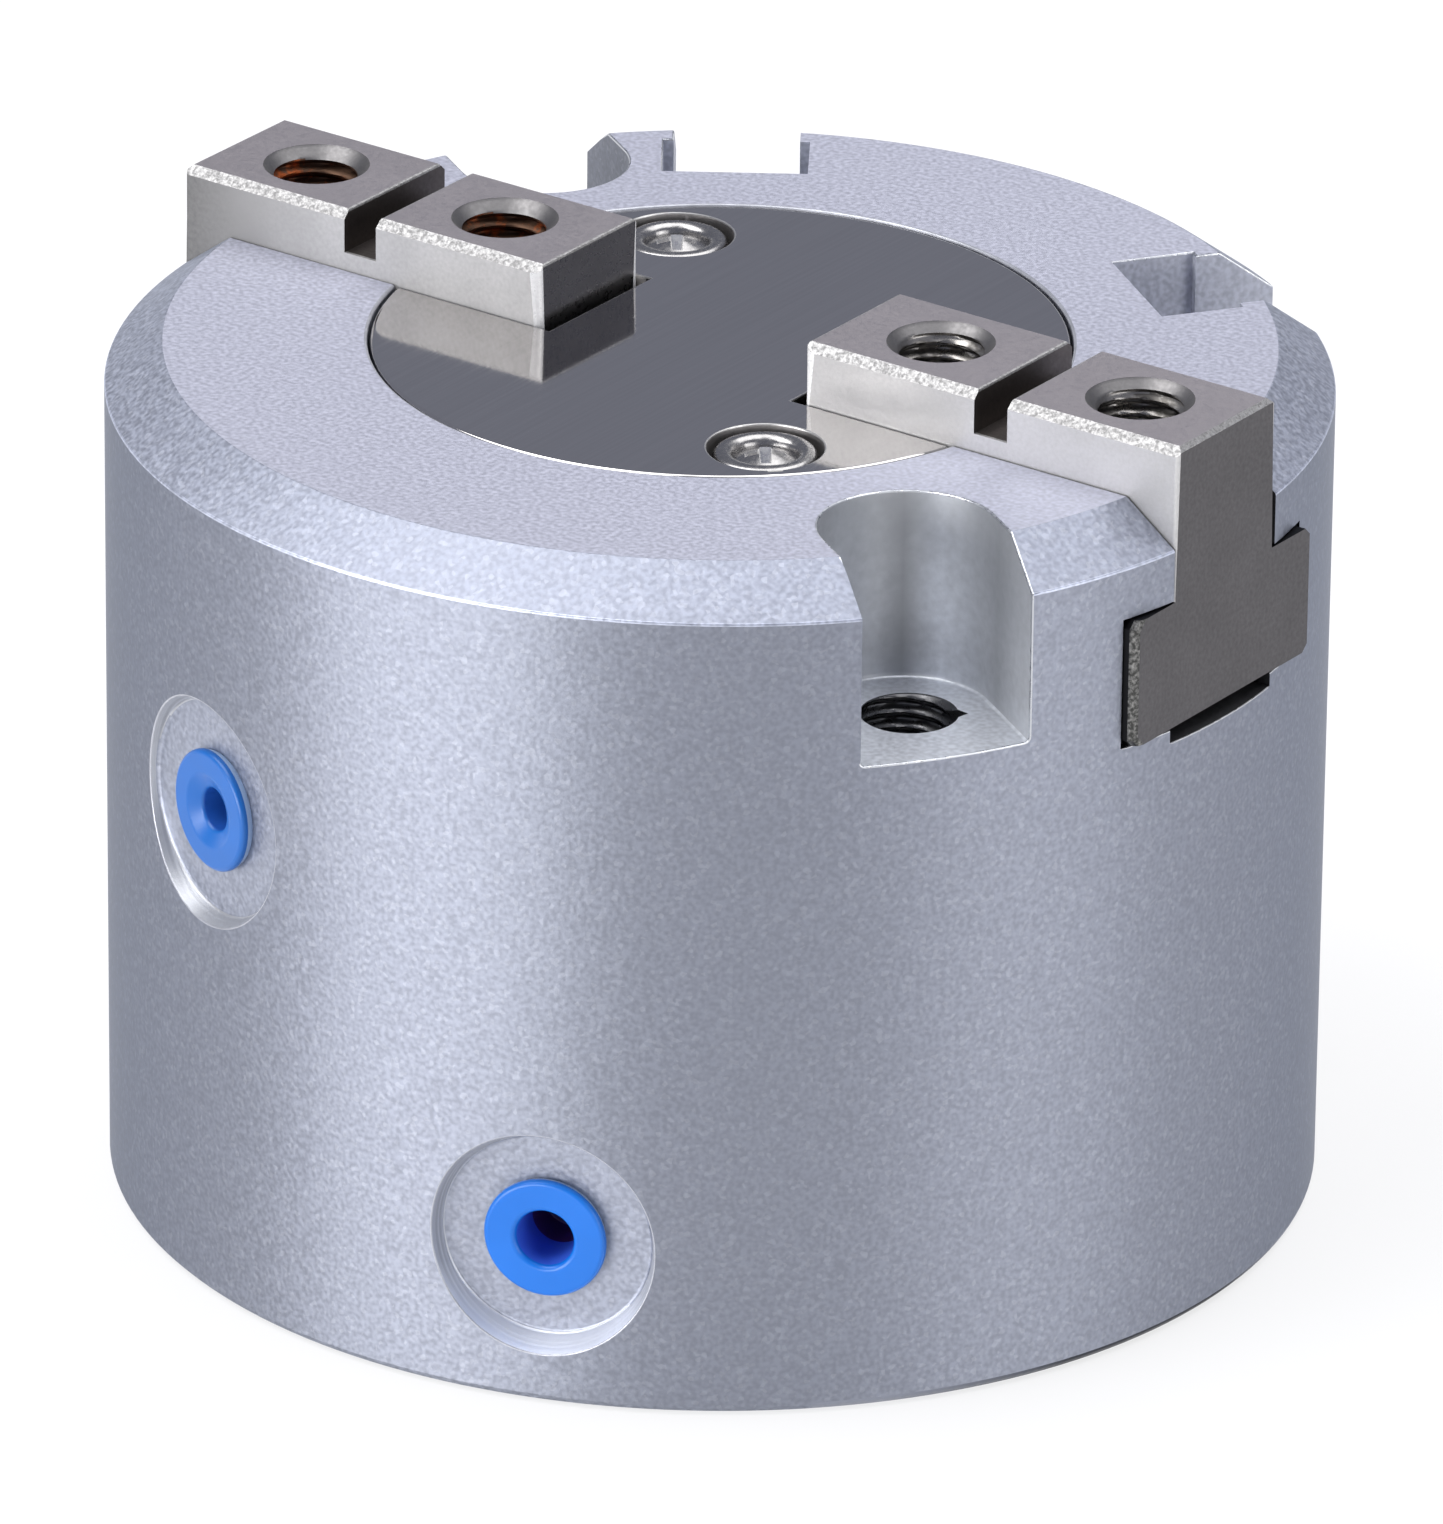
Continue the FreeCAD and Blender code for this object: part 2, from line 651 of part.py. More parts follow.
def make_cam():
    """The steel wedge, wider at its foot, with an inclined T-slot in each flank."""
    body = new_body("cam")
    wedge = sketch(body, "wedge_outline", "XZ_Plane")
    polygon(wedge, [
        (CAM_FOOT_HALF_LENGTH, "cam_bottom"), ("cam_top_half_length", "cam_top"),
        ("-cam_top_half_length", "cam_top"), ("-" + CAM_FOOT_HALF_LENGTH, "cam_bottom"),
    ])
    pad(body, "wedge", wedge, "2 * cam_half_width", symmetric=True)
    tee = sketch(body, "cam_slot_section", "XY_Plane", shift={"z": "cam_bottom"})
    mouth = f"({CAM_FOOT_HALF_LENGTH} + {OVERSHOOT})"
    neck = f"({CAM_FOOT_HALF_LENGTH} - hook_neck_depth)"
    head = f"({CAM_FOOT_HALF_LENGTH} - hook_neck_depth - hook_head_depth)"
    polygon(tee, [
        (mouth, "hook_neck_half_width"), (neck, "hook_neck_half_width"), (neck, "hook_head_half_width"),
        (head, "hook_head_half_width"), (head, "-hook_head_half_width"), (neck, "-hook_head_half_width"),
        (neck, "-hook_neck_half_width"), (mouth, "-hook_neck_half_width"),
    ])
    slot = pocket(body, "cam_slot", tee, f"cam_top - cam_bottom + {OVERSHOOT}", lean=WEDGE_DIRECTION)
    mirror_across_x(body, "cam_slots", [slot])
    tap = sketch(body, "cam_tap", "XY_Plane", shift={"z": "cam_bottom"})
    circle(tap, "0", "0", "cam_thread_radius")
    pocket(body, "cam_thread", tap, "cam_thread_depth", upward=True)
    return body


def make_piston():
    """The piston with its rod, turned in one piece, grooved for seal, magnet and wear ring."""
    def groove_points(bottom, top, radius):
        return [("piston_radius", bottom), (radius, bottom), (radius, top), ("piston_radius", top)]

    def bumper_seat(face, floor, inner_first):
        inner = "bumper_inner_radius - seat_gap"
        outer = "bumper_outer_radius + seat_gap"
        radii = (inner, outer) if inner_first else (outer, inner)
        return [(radii[0], face), (radii[0], floor), (radii[1], floor), (radii[1], face)]

    points = [("bolt_head_bore", "piston_bottom")]
    points += bumper_seat("piston_bottom", "piston_bottom + bumper_depth", True)
    points += [("step_radius", "piston_bottom"), ("step_radius", "land_bottom"),
               ("piston_radius", "land_bottom")]
    points += groove_points("wear_bottom", "wear_top", "wear_groove_radius")
    points += groove_points("magnet_bottom", "magnet_top", "magnet_groove_radius")
    points += groove_points("seal_bottom", "seal_top", "seal_groove_radius")
    points += [("piston_radius", "land_top"), ("step_radius", "land_top"),
               ("step_radius", "piston_top")]
    points += bumper_seat("piston_top", "piston_top - bumper_depth", False)
    points += [("rod_radius", "piston_top"), ("rod_radius", "cam_bottom"),
               ("bolt_hole_radius", "cam_bottom"), ("bolt_hole_radius", "bolt_seat"),
               ("bolt_head_bore", "bolt_seat")]
    return turned_part("piston", points)


def make_piston_rings():
    """What sits in the piston's grooves. The wear ring and the magnet strip are split to go on."""
    inset = "seat_gap"
    turned_part("piston_seal", [
        (f"seal_groove_radius + {inset}", f"seal_bottom + {inset}"),
        ("rubbing_radius - seal_lip_width", f"seal_bottom + {inset}"),
        ("rubbing_radius - seal_lip_drop", f"seal_bottom + {inset} + seal_lip_height"),
        ("rubbing_radius", "(seal_bottom + seal_top) / 2"),
        ("rubbing_radius - seal_lip_drop", f"seal_top - {inset} - seal_lip_height"),
        ("rubbing_radius - seal_lip_width", f"seal_top - {inset}"),
        (f"seal_groove_radius + {inset}", f"seal_top - {inset}"),
    ])
    wear = ring_section(f"wear_groove_radius + {inset}", "rubbing_radius",
                        f"wear_bottom + {inset}", f"wear_top - {inset}")
    turned_part("wear_ring", wear, angle="wear_ring_angle")
    magnet = ring_section(f"magnet_groove_radius + {inset}", "magnet_radius",
                          f"magnet_bottom + {inset}", f"magnet_top - {inset}")
    turned_part("magnet_strip", magnet, angle="magnet_strip_angle")
    turned_part("lower_bumper", ring_section("bumper_inner_radius", "bumper_outer_radius",
                                             "piston_bottom - bumper_proud", "piston_bottom + bumper_depth"))
    turned_part("upper_bumper", ring_section("bumper_inner_radius", "bumper_outer_radius",
                                             "piston_top - bumper_depth", "piston_top + bumper_proud"))


def make_cam_bolt():
    """The socket screw that clamps the cam on the rod from under the piston, and its spring washer."""
    seat = "(bolt_seat - washer_thickness)"
    body = turned_part("cam_bolt", [
        ("0", f"{seat} - bolt_head_height"), ("bolt_head_radius - edge_break", f"{seat} - bolt_head_height"),
        ("bolt_head_radius", f"{seat} - bolt_head_height + edge_break"), ("bolt_head_radius", seat),
        ("bolt_radius", seat), ("bolt_radius", "bolt_end"), ("0", "bolt_end"),
    ])
    socket = sketch(body, "bolt_socket_outline", "XY_Plane", shift={"z": f"{seat} - bolt_head_height"})
    corner = "bolt_socket_width / sqrt(3)"
    turns = [FULL_TURN * index / HEX_SIDES for index in range(HEX_SIDES)]
    corners = [(f"{corner} * cos({turn} deg)", f"{corner} * sin({turn} deg)") for turn in turns]
    polygon(socket, corners)
    pocket(body, "bolt_socket", socket, "bolt_socket_depth", upward=True)
    washer = ring_section("bolt_hole_radius", "washer_radius", seat, "bolt_seat")
    turned_part("cam_bolt_washer", washer, angle="washer_angle")


def make_bottom_cap():
    """The disc that closes the bore, with a groove for its O-ring."""
    turned_part("bottom_cap", [
        ("0", "cap_bottom"), ("cap_radius", "cap_bottom"),
        ("cap_radius", "cap_groove_bottom"), ("cap_groove_radius", "cap_groove_bottom"),
        ("cap_groove_radius", "cap_groove_bottom + cap_groove_height"),
        ("cap_radius", "cap_groove_bottom + cap_groove_height"),
        ("cap_radius", "cap_top - cap_chamfer"), ("cap_radius - cap_chamfer", "cap_top"), ("0", "cap_top"),
    ])


def make_seal_ring(label, inner, outer, height):
    """A rubber ring squeezed between two radii, so its round section is flattened to eight sides."""
    middle = f"({inner} + {outer}) / 2"
    half_width = f"(({outer} - {inner}) / 2 - seat_gap)"
    corner = f"{half_width} / cos({FULL_TURN / SEAL_SIDES / 2} deg)"
    turns = [FULL_TURN * (index + 0.5) / SEAL_SIDES for index in range(SEAL_SIDES)]
    turned_part(label, [
        (f"{middle} + {corner} * cos({turn} deg)", f"{height} + {corner} * sin({turn} deg)")
        for turn in turns
    ])


def make_retaining_ring():
    """The internal snap ring under the cap, thinner towards its two lugs."""
    body = new_body("retaining_ring")
    level = {"z": RING_BOTTOM}
    outline = sketch(body, "ring_outline", "XY_Plane", shift=level)
    circle(outline, "0", "0", "ring_radius")
    circle(outline, "0", "-ring_hole_shift", "ring_hole_radius")
    pad(body, "ring", outline, "ring_thickness")
    gap = sketch(body, "ring_gap_outline", "XY_Plane", shift=level)
    rectangle(gap, "-ring_gap_half_width", f"-ring_radius - {OVERSHOOT}",
              "ring_gap_half_width", "-ring_lug_reach")
    pocket(body, "ring_gap", gap, f"ring_thickness + {OVERSHOOT}", upward=True)
    for side, sign in (("left", "-"), ("right", "")):
        lug = sketch(body, f"{side}_lug_outline", "XY_Plane", shift=level)
        circle(lug, f"{sign}ring_lug_offset", "-ring_lug_reach", "ring_lug_radius")
        pad(body, f"{side}_lug", lug, "ring_thickness")
        eye = sketch(body, f"{side}_lug_eye", "XY_Plane", shift=level)
        circle(eye, f"{sign}ring_lug_offset", "-ring_lug_reach", "ring_lug_hole")
        pocket(body, f"{side}_lug_hole", eye, f"ring_thickness + {OVERSHOOT}", upward=True)


def make_port_plug(port):
    """A hollow push-in dust plug with a thin flange on the spotface."""
    label = f"{port}_port_plug"
    body = new_body(label)
    section = port_sketch(body, f"{label}_section", port)
    seat = f"{port}_spotface_floor"
    face = f"({seat} + plug_flange_thickness)"
    polygon(section, [
        ("plug_end", "0"), ("plug_end", "plug_radius - plug_nose / 2"),
        ("plug_end + plug_nose", "plug_radius"),
        (seat, "plug_radius"), (seat, "plug_flange_radius"),
        (f"{face} - plug_round", "plug_flange_radius"), (face, "plug_flange_radius - plug_round"),
        (face, "plug_hole_radius + plug_round"), (f"{face} - plug_round", "plug_hole_radius"),
        ("plug_end + plug_wall", "plug_hole_radius - plug_round"), ("plug_end + plug_wall", "0"),
    ])
    revolve(body, f"{label}_turning", section, axis="H_Axis")


make_housing()
make_end_plate()
make_end_plate_screws()
make_left_finger(make_right_finger())
make_cam()
make_piston()
make_piston_rings()
make_cam_bolt()
make_bottom_cap()
make_seal_ring("cap_o_ring", "cap_groove_radius", "bore_radius",
               "cap_groove_bottom + cap_groove_height / 2")
make_seal_ring("rod_seal", "rod_radius", "rod_groove_radius",
               "rod_groove_bottom + rod_groove_height / 2")
make_retaining_ring()
for port_name in ("upper", "lower"):
    make_port_plug(port_name)
doc.recompute()

NODES = (
    "housing", "end_plate", "end_plate_screws", "left_finger", "right_finger", "cam", "cam_bolt",
    "cam_bolt_washer", "piston", "piston_seal", "wear_ring", "magnet_strip", "lower_bumper", "upper_bumper",
    "rod_seal", "bottom_cap", "cap_o_ring", "retaining_ring", "upper_port_plug", "lower_port_plug",
)

for item in doc.Objects:
    if "Invalid" in item.State or "Error" in item.State:
        raise RuntimeError(f"{item.Name} failed: {item.State}")

os.makedirs("parts", exist_ok=True)
for node in NODES:
    shape = doc.getObjectsByLabel(node)[0].Shape
    if shape.isNull() or not shape.isValid():
        raise RuntimeError(f"{node} has no valid shape")
    shape.exportStep(f"parts/{node}.step")
    print(f"{node}: {len(shape.Solids)} solid, {shape.Volume:.1f} mm3")
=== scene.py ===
import math

import bmesh
import bpy
from mathutils import Matrix, Vector


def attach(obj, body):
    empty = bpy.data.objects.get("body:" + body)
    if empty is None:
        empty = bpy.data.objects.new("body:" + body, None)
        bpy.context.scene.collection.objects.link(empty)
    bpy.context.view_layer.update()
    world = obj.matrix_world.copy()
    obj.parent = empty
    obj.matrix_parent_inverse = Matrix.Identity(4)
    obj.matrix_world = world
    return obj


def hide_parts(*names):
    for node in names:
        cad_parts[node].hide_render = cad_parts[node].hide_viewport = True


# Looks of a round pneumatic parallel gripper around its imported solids.
# Meshes are drawn in millimetres, in the part's own frame, and scaled to metres when they are placed.

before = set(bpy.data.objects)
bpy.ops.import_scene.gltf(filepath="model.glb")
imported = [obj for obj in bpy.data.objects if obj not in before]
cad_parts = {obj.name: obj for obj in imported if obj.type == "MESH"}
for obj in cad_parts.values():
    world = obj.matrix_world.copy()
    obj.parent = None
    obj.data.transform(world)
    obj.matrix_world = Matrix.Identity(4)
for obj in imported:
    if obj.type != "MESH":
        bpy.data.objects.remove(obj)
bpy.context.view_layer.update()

MM = 0.001
TINY = 1e-6
# Corners closer than this, in mm, become one
MERGE = 0.03
# A corner this near to a surface, in mm, lies on it
ON_SURFACE = 0.008
# A face or an edge this near to a level, in mm, belongs to it
NEAR = 0.05
# How far a cutting tool reaches past the face that it cuts, and a hole into the hollow above it
OVERCUT = 1.0
OVERLAP = 0.5
# Least share of an axis in a direction along it or rising with it, in a level normal and a leaning one
ALIGNED = 0.9
RISING = 0.6
LEVEL = 0.99
LEANING = 0.1
ANYWHERE = (-math.inf, math.inf)
SHARP = math.radians(28.0)

# Housing
BODY_RADIUS = 31.0
BODY_HEIGHT = 45.0
TOP_CHAMFER_WIDTH = 2.9
TOP_CHAMFER_DROP = 2.16
BOTTOM_CHAMFER = 0.4
SHOULDER_HEIGHT = BODY_HEIGHT - TOP_CHAMFER_DROP
# The outward and upward shares of the chamfer's normal
CONE_OUT = TOP_CHAMFER_DROP / math.hypot(TOP_CHAMFER_DROP, TOP_CHAMFER_WIDTH)
CONE_UP = TOP_CHAMFER_WIDTH / math.hypot(TOP_CHAMFER_DROP, TOP_CHAMFER_WIDTH)
FOOT_ROUND = 0.3
SHOULDER_ROUND = 0.18
TOP_ROUND = 0.25
SEAT_ROUND = 0.15
BORE_ROUND = 0.1
# The faces of a rounded edge lie this near to its corner, and lean this much off the faces beside it
ROUND_REACH = 0.1
ROUND_LEAN = 0.02
BORE_RADIUS = 20.0
CHAMBER_TOP = 26.0
PILOT_RADIUS = 21.0
PILOT_DEPTH = 1.5
RING_GROOVE_RADIUS = 21.25
RING_GROOVE_BOTTOM = 2.05
RING_GROOVE_TOP = 3.9
ROD_HOLE_RADIUS = 5.06
ROD_GROOVE_RADIUS = 6.45
ROD_GROOVE_BOTTOM = 26.7
ROD_GROOVE_TOP = 28.3
CAM_ROOM = (14.4, 5.9, 29.2)
# Upright edges at this count keep clear of every rim on the side
HOUSING_SEGMENTS = 184
# The seam of the flat rings runs through the mounting holes
HOUSING_SEAM = 167
BURR_WIDTH = 0.1
RIM_WIDTH = 0.06
# The low edges of the way lie within this depth under the flanges
SILL_DEPTH = 1.0
# The part of the foot's edge with painted shade, in degrees round the axis
FOOT_SHADE_BEARINGS = (-45.0, 30.0)

# End plate and its screws
PLATE_RADIUS = 17.65
PLATE_GAP = 0.12
PLATE_TOP = 44.95
PLATE_BOTTOM = 41.8
PLATE_SLOT_HALF_WIDTH = 4.35
PLATE_SLOT_END = 7.5
PLATE_EDGE = 0.22
PLATE_RIM = 0.1
SCREW_PLACES = ((9.9, -9.9), (-9.9, 9.9))
SCREW_SINK_RADIUS = 2.93
SCREW_SEAT = 43.1
SCREW_HEAD_RADIUS = 2.6
SCREW_HEAD_TOP = 44.85
SCREW_HEAD_ROUND = 0.3
SCREW_DOME = 0.1
SCREW_DOME_RADIUS = 1.6
SCREW_DOME_ROUND = 0.5
SCREW_SEGMENTS = 72
SCREW_CLEAR_RADIUS = 1.6
SCREW_SHANK_RADIUS = 1.2
SCREW_TAP_RADIUS = 1.25
SCREW_END = 37.1
SCREW_TAP_END = 35.8
CROSS_TURN = math.radians(35.8)
# A wing of the cross recess as (height over the head, half length, half width)
CROSS_LEVELS = ((0.3, 1.5, 0.36), (0.0, 1.3, 0.33), (-1.1, 0.45, 0.2))

# Fingers and their way
FINGER_INNER = 8.2
FINGER_OUTER = 30.7
FINGER_TOP = 48.2
STEM_HALF_WIDTH = 4.25
FLANGE_HALF_WIDTH = 7.65
FLANGE_TOP = 40.05
FLANGE_BOTTOM = 33.3
FINGER_CHAMFER = 0.45
FINGER_END_CHAMFER = 0.25
FINGER_EDGE_BREAK = 0.15
FINGER_OUTER_ROUND = 0.25
FLANGE_BURR = 0.38
SILL_BURR = 0.18
FINGER_CORNER_ROUND = 0.6
FLANGE_CHAMFER = 0.4
SLIDE_GAP = 0.1
# Further play on one side of the stem, on which the finger does not bear
STEM_PLAY = 0.2
RELIEF_HALF_WIDTH = 4.4
RELIEF_DEPTH = 0.7
UNDER_PLATE = 41.6
# Half the width of the cuts across a finger
FINGER_CUT = 9.0
CAM_TOP = 37.6
CAM_TOP_HALF_LENGTH = 5.6
FLANK_GAP = 0.25
HOOK_NECK_DEPTH = 1.6
HOOK_HEAD_DEPTH = 1.9
HOOK_NECK_HALF_WIDTH = 1.8
HOOK_HEAD_HALF_WIDTH = 3.3
HOOK_GAP = 0.06
JAW_HOLES = (13.5, 25.5)
# Threads as (minor radius, major radius, pitch), and the grid that draws them
JAW_THREAD = (2.08, 2.5, 0.8)
THREAD_STEPS = 48
THREAD_ROWS = 10
# Flat share of a thread's crest and root, turns over which it runs in, flat share of a drill's point
THREAD_FLAT = 0.15
THREAD_RUN_IN = 0.6
DRILL_FLAT = 0.1
JAW_SINK_RADIUS = 2.75
JAW_SINK_SLOPE = 1.05
JAW_HOLE_DEPTH = 9.0
JAW_HOLE_TIP = 1.2
KEY_SLOT = (18.5, 20.5)
KEY_SLOT_DEPTH = 2.25

# Mounting holes, switch grooves and ports
MOUNT_ANGLES = (math.radians(-33.0), math.radians(147.0))
MOUNT_CIRCLE_RADIUS = 25.4
MOUNT_HOLE_RADIUS = 2.65
MOUNT_THREAD = (2.25, 2.65, 0.8)
MOUNT_THREAD_END = 20.0
MOUNT_THREAD_TURN = 0.19
# A pointed nick in the rim of each mounting hole, as (along, across) from the hole's axis
MOUNT_NICK = ((1.8, -1.2), (3.1, 0.0), (1.8, 1.2))
MOUNT_NICK_LEVELS = (-1.2, 0.3)
MOUNT_NICK_TURN = math.radians(69.0)
# Edges this near to a mounting hole or to its seat's floor belong to them
HOLE_RIM = 0.3
COUNTERBORE_RADIUS = 4.45
COUNTERBORE_CORNER = 0.25
COUNTERBORE_FLOOR = 35.0
SEAT_STEPS = 48
CORNER_STEPS = 4
SWITCH_ANGLES = (math.radians(54.0), math.radians(124.0))
SWITCH_FLOOR = 22.2
SWITCH_LIP = 26.6
SWITCH_HALF_WIDTH = 3.8
SWITCH_MOUTH_HALF_WIDTH = 3.28
PORTS = {
    "upper": (math.radians(-109.7), 26.5),
    "lower": (math.radians(-70.3), 8.65),
}
SPOTFACE_FLOORS = {"upper": 30.0, "lower": 29.5}
# The seat's wall leans outward: its radius at the body's surface, and how much it grows on the way out
SPOTFACE_RADIUS = 5.98
SPOTFACE_LEAN = 0.387
SPOTFACE_CORNER = 0.25
# The foot of the seat's wall begins this far under the port's axis
SPOTFACE_FOOT = 2.0
PORT_SEGMENTS = 96
PORT_RADIUS = 2.1
PORT_LEAD = 0.4
PORT_END = 18.5
PORT_TIP = 1.2
PLUG_FLANGE_RADIUS = 3.15
PLUG_FACES = {"upper": 0.72, "lower": 0.75}
PLUG_FLANGE_EDGE = 0.36
PLUG_FLANGE_FOOT = 3.0
PLUG_EDGE_ROUNDS = (0.1, 0.26)
PLUG_RADIUS = 2.05
PLUG_END = 24.6
PLUG_LEAD_WIDTH = 0.3
PLUG_LEAD_LENGTH = 0.6
PLUG_LEAD_ROUND = 0.2
PLUG_DRAFT = 0.05
PLUG_FLOOR_ROUND = 0.1
PLUG_FLOOR = 25.6
# The bore of each plug as (radius, depth under its face, rounding)
PLUG_BORES = {
    "upper": ((1.95, 0.0, 0.45), (1.1, 0.4, 0.3), (0.9, 2.4, 0.1)),
    "lower": ((1.5, 0.0, 0.3), (1.42, 2.8, 0.1)),
}
# Depths under each face from which the bore's walls take their painted light and shade
PLUG_BORE_DEPTHS = {"upper": 0.45, "lower": 0.42}
# Depth from which a bore is painted near-black as painted shade
PLUG_DARK_DEPTH = 2.3

# Axes for outlines that are drawn in another plane than XY
ALONG_X = Matrix(((0, 0, 1, 0), (1, 0, 0, 0), (0, 1, 0, 0), (0, 0, 0, 1)))
ALONG_Y = Matrix(((1, 0, 0, 0), (0, 0, -1, 0), (0, 1, 0, 0), (0, 0, 0, 1)))


# Mesh helpers

def rounded(corners, steps=4):
    """An outline of (x, y) corners, where a corner given as (x, y, radius) becomes an arc."""
    outline = []
    for index, corner in enumerate(corners):
        here = Vector(corner[:2])
        if len(corner) == 2:
            outline.append(here)
            continue
        before = (Vector(corners[index - 1][:2]) - here).normalized()
        after = (Vector(corners[(index + 1) % len(corners)][:2]) - here).normalized()
        half = before.angle(after) / 2
        centre = here + (before + after).normalized() * corner[2] / math.sin(half)
        start = here + before * corner[2] / math.tan(half) - centre
        end = here + after * corner[2] / math.tan(half) - centre
        first = math.atan2(start.y, start.x)
        sweep = (math.atan2(end.y, end.x) - first + math.pi) % (2 * math.pi) - math.pi
        for step in range(steps + 1):
            angle = first + sweep * step / steps
            outline.append(centre + corner[2] * Vector((math.cos(angle), math.sin(angle))))
    return outline


def fill_level(mesh, inner, outer, seam):
    """A flat ring as two halves that meet at the seam, or a flat disc as one face."""
    if len(inner) == 1 or len(outer) == 1:
        mesh.faces.new(inner if len(outer) == 1 else outer)
        return
    count = len(inner)
    for start in (seam, seam + count // 2):
        span = [(start + step) % count for step in range(count // 2 + 1)]
        mesh.faces.new([inner[index] for index in span] + [outer[index] for index in reversed(span)])


def revolve(outline, count, closed=True, seam=0):
    """A half section of (radius, height) points turned about Z."""
    mesh = bmesh.new()
    rings = []
    for radius, height in outline:
        places = 1 if radius < TINY else count
        angles = [2 * math.pi * index / count for index in range(places)]
        rings.append([mesh.verts.new((radius * math.cos(a), radius * math.sin(a), height)) for a in angles])
    pairs = list(zip(rings, rings[1:]))
    if closed:
        pairs.append((rings[-1], rings[0]))
    for lower, upper in pairs:
        if abs(lower[0].co.z - upper[0].co.z) < TINY:
            fill_level(mesh, lower, upper, seam)
            continue
        for index in range(count):
            following = index + 1
            corners = [lower[index % len(lower)], lower[following % len(lower)],
                       upper[following % len(upper)], upper[index % len(upper)]]
            corners = list(dict.fromkeys(corners))
            if len(corners) > 2:
                mesh.faces.new(corners)
    loose = [vert for vert in mesh.verts if not vert.link_faces]
    bmesh.ops.delete(mesh, geom=loose, context="VERTS")
    bmesh.ops.recalc_face_normals(mesh, faces=mesh.faces)
    return mesh


def loft(levels, placing=None):
    """A solid through outlines of (x, y, z) points, all with the same count, closed at both ends."""
    mesh = bmesh.new()
    rings = [[mesh.verts.new(point) for point in level] for level in levels]
    mesh.faces.new(rings[0])
    mesh.faces.new(rings[-1])
    count = len(rings[0])
    for lower, upper in zip(rings, rings[1:]):
        for index in range(count):
            following = (index + 1) % count
            mesh.faces.new((lower[index], lower[following], upper[following], upper[index]))
    if placing:
        mesh.transform(placing)
    bmesh.ops.recalc_face_normals(mesh, faces=mesh.faces)
    return mesh


def prism(outline, low, high, placing=None):
    """A bar with the outline as its section, from low to high along the outline's own Z."""
    return loft([[(x, y, z) for x, y in outline] for z in (low, high)], placing)


def circle_outline(x, y, radius, count):
    angles = [2 * math.pi * index / count for index in range(count)]
    return [(x + radius * math.cos(a), y + radius * math.sin(a)) for a in angles]


def rectangle(left, bottom, right, top):
    return [(left, bottom), (right, bottom), (right, top), (left, top)]


def port_placing(port):
    """From a revolve about Z to the axis of a port, with Z outward."""
    angle, height = PORTS[port]
    turn = Matrix.Rotation(angle, 4, "Z") @ Matrix.Rotation(math.pi / 2, 4, "Y")
    return Matrix.Translation((0, 0, height)) @ turn


def to_object(name, mesh, *materials):
    """A new object from drawn geometry, all of it in the first material."""
    data = bpy.data.meshes.new(name)
    mesh.to_mesh(data)
    mesh.free()
    for material in materials:
        data.materials.append(material)
    piece = bpy.data.objects.new(name, data)
    bpy.context.scene.collection.objects.link(piece)
    return piece


def combine(piece, tool_mesh, material, operation="DIFFERENCE"):
    """Cut a drawn tool from a piece, or join it on. The new faces have the tool's material."""
    tool = to_object("tool", tool_mesh, material)
    modifier = piece.modifiers.new("combine", "BOOLEAN")
    modifier.operation = operation
    modifier.solver = "EXACT"
    modifier.material_mode = "TRANSFER"
    modifier.object = tool
    graph = bpy.context.evaluated_depsgraph_get()
    data = bpy.data.meshes.new_from_object(piece.evaluated_get(graph))
    piece.modifiers.clear()
    piece.data = data
    bpy.data.objects.remove(tool)


def slot_of(piece, material):
    """The number of a material on a piece, which is given the material when it has none."""
    found = piece.data.materials.find(material.name)
    if found < 0:
        piece.data.materials.append(material)
        found = len(piece.data.materials) - 1
    return found


def soften(piece, width, wanted, material=None, segments=2):
    """Round the outer edges that wanted picks by their middle and direction."""
    number = slot_of(piece, material) if material else -1
    mesh = bmesh.new()
    mesh.from_mesh(piece.data)
    bmesh.ops.remove_doubles(mesh, verts=mesh.verts, dist=MERGE)
    bmesh.ops.dissolve_degenerate(mesh, edges=mesh.edges, dist=MERGE)
    sharp = []
    for edge in mesh.edges:
        if not edge.is_manifold or not edge.is_convex:
            continue
        start, end = (vert.co for vert in edge.verts)
        if edge.calc_face_angle() > SHARP and wanted((start + end) / 2, (end - start).normalized()):
            sharp.append(edge)
    bmesh.ops.bevel(mesh, geom=sharp, offset=width, offset_type="OFFSET", segments=segments,
                    profile=0.5, affect="EDGES", clamp_overlap=False, loop_slide=False, material=number)
    mesh.to_mesh(piece.data)
    mesh.free()


def edges_along(axis, least=ALIGNED, x=ANYWHERE, y=ANYWHERE, z=ANYWHERE):
    """A choice of the edges along an axis that have their middle inside the ranges."""
    def wanted(middle, direction):
        inside = all(low < value < high for value, (low, high) in zip(middle, (x, y, z)))
        return inside and abs(direction["xyz".index(axis)]) > least

    return wanted


def merge_level(piece, height):
    """Join the flat faces at one height that share a side, so that no seam is left between them."""
    mesh = bmesh.new()
    mesh.from_mesh(piece.data)
    mesh.faces.ensure_lookup_table()
    level = {face.index for face in mesh.faces
             if face.normal.z > 0.9999 and abs(face.calc_center_median().z - height) < ON_SURFACE}
    seams = [edge for edge in mesh.edges
             if len(edge.link_faces) == 2 and all(face.index in level for face in edge.link_faces)]
    bmesh.ops.dissolve_edges(mesh, edges=seams)
    mesh.to_mesh(piece.data)
    mesh.free()


def paint(piece, material, wanted, *over):
    """Give a material to the faces that wanted picks. Where over is given, only those are replaced."""
    number = slot_of(piece, material)
    allowed = [slot_of(piece, other) for other in over]
    for face in piece.data.polygons:
        if (not over or face.material_index in allowed) and wanted(face):
            face.material_index = number


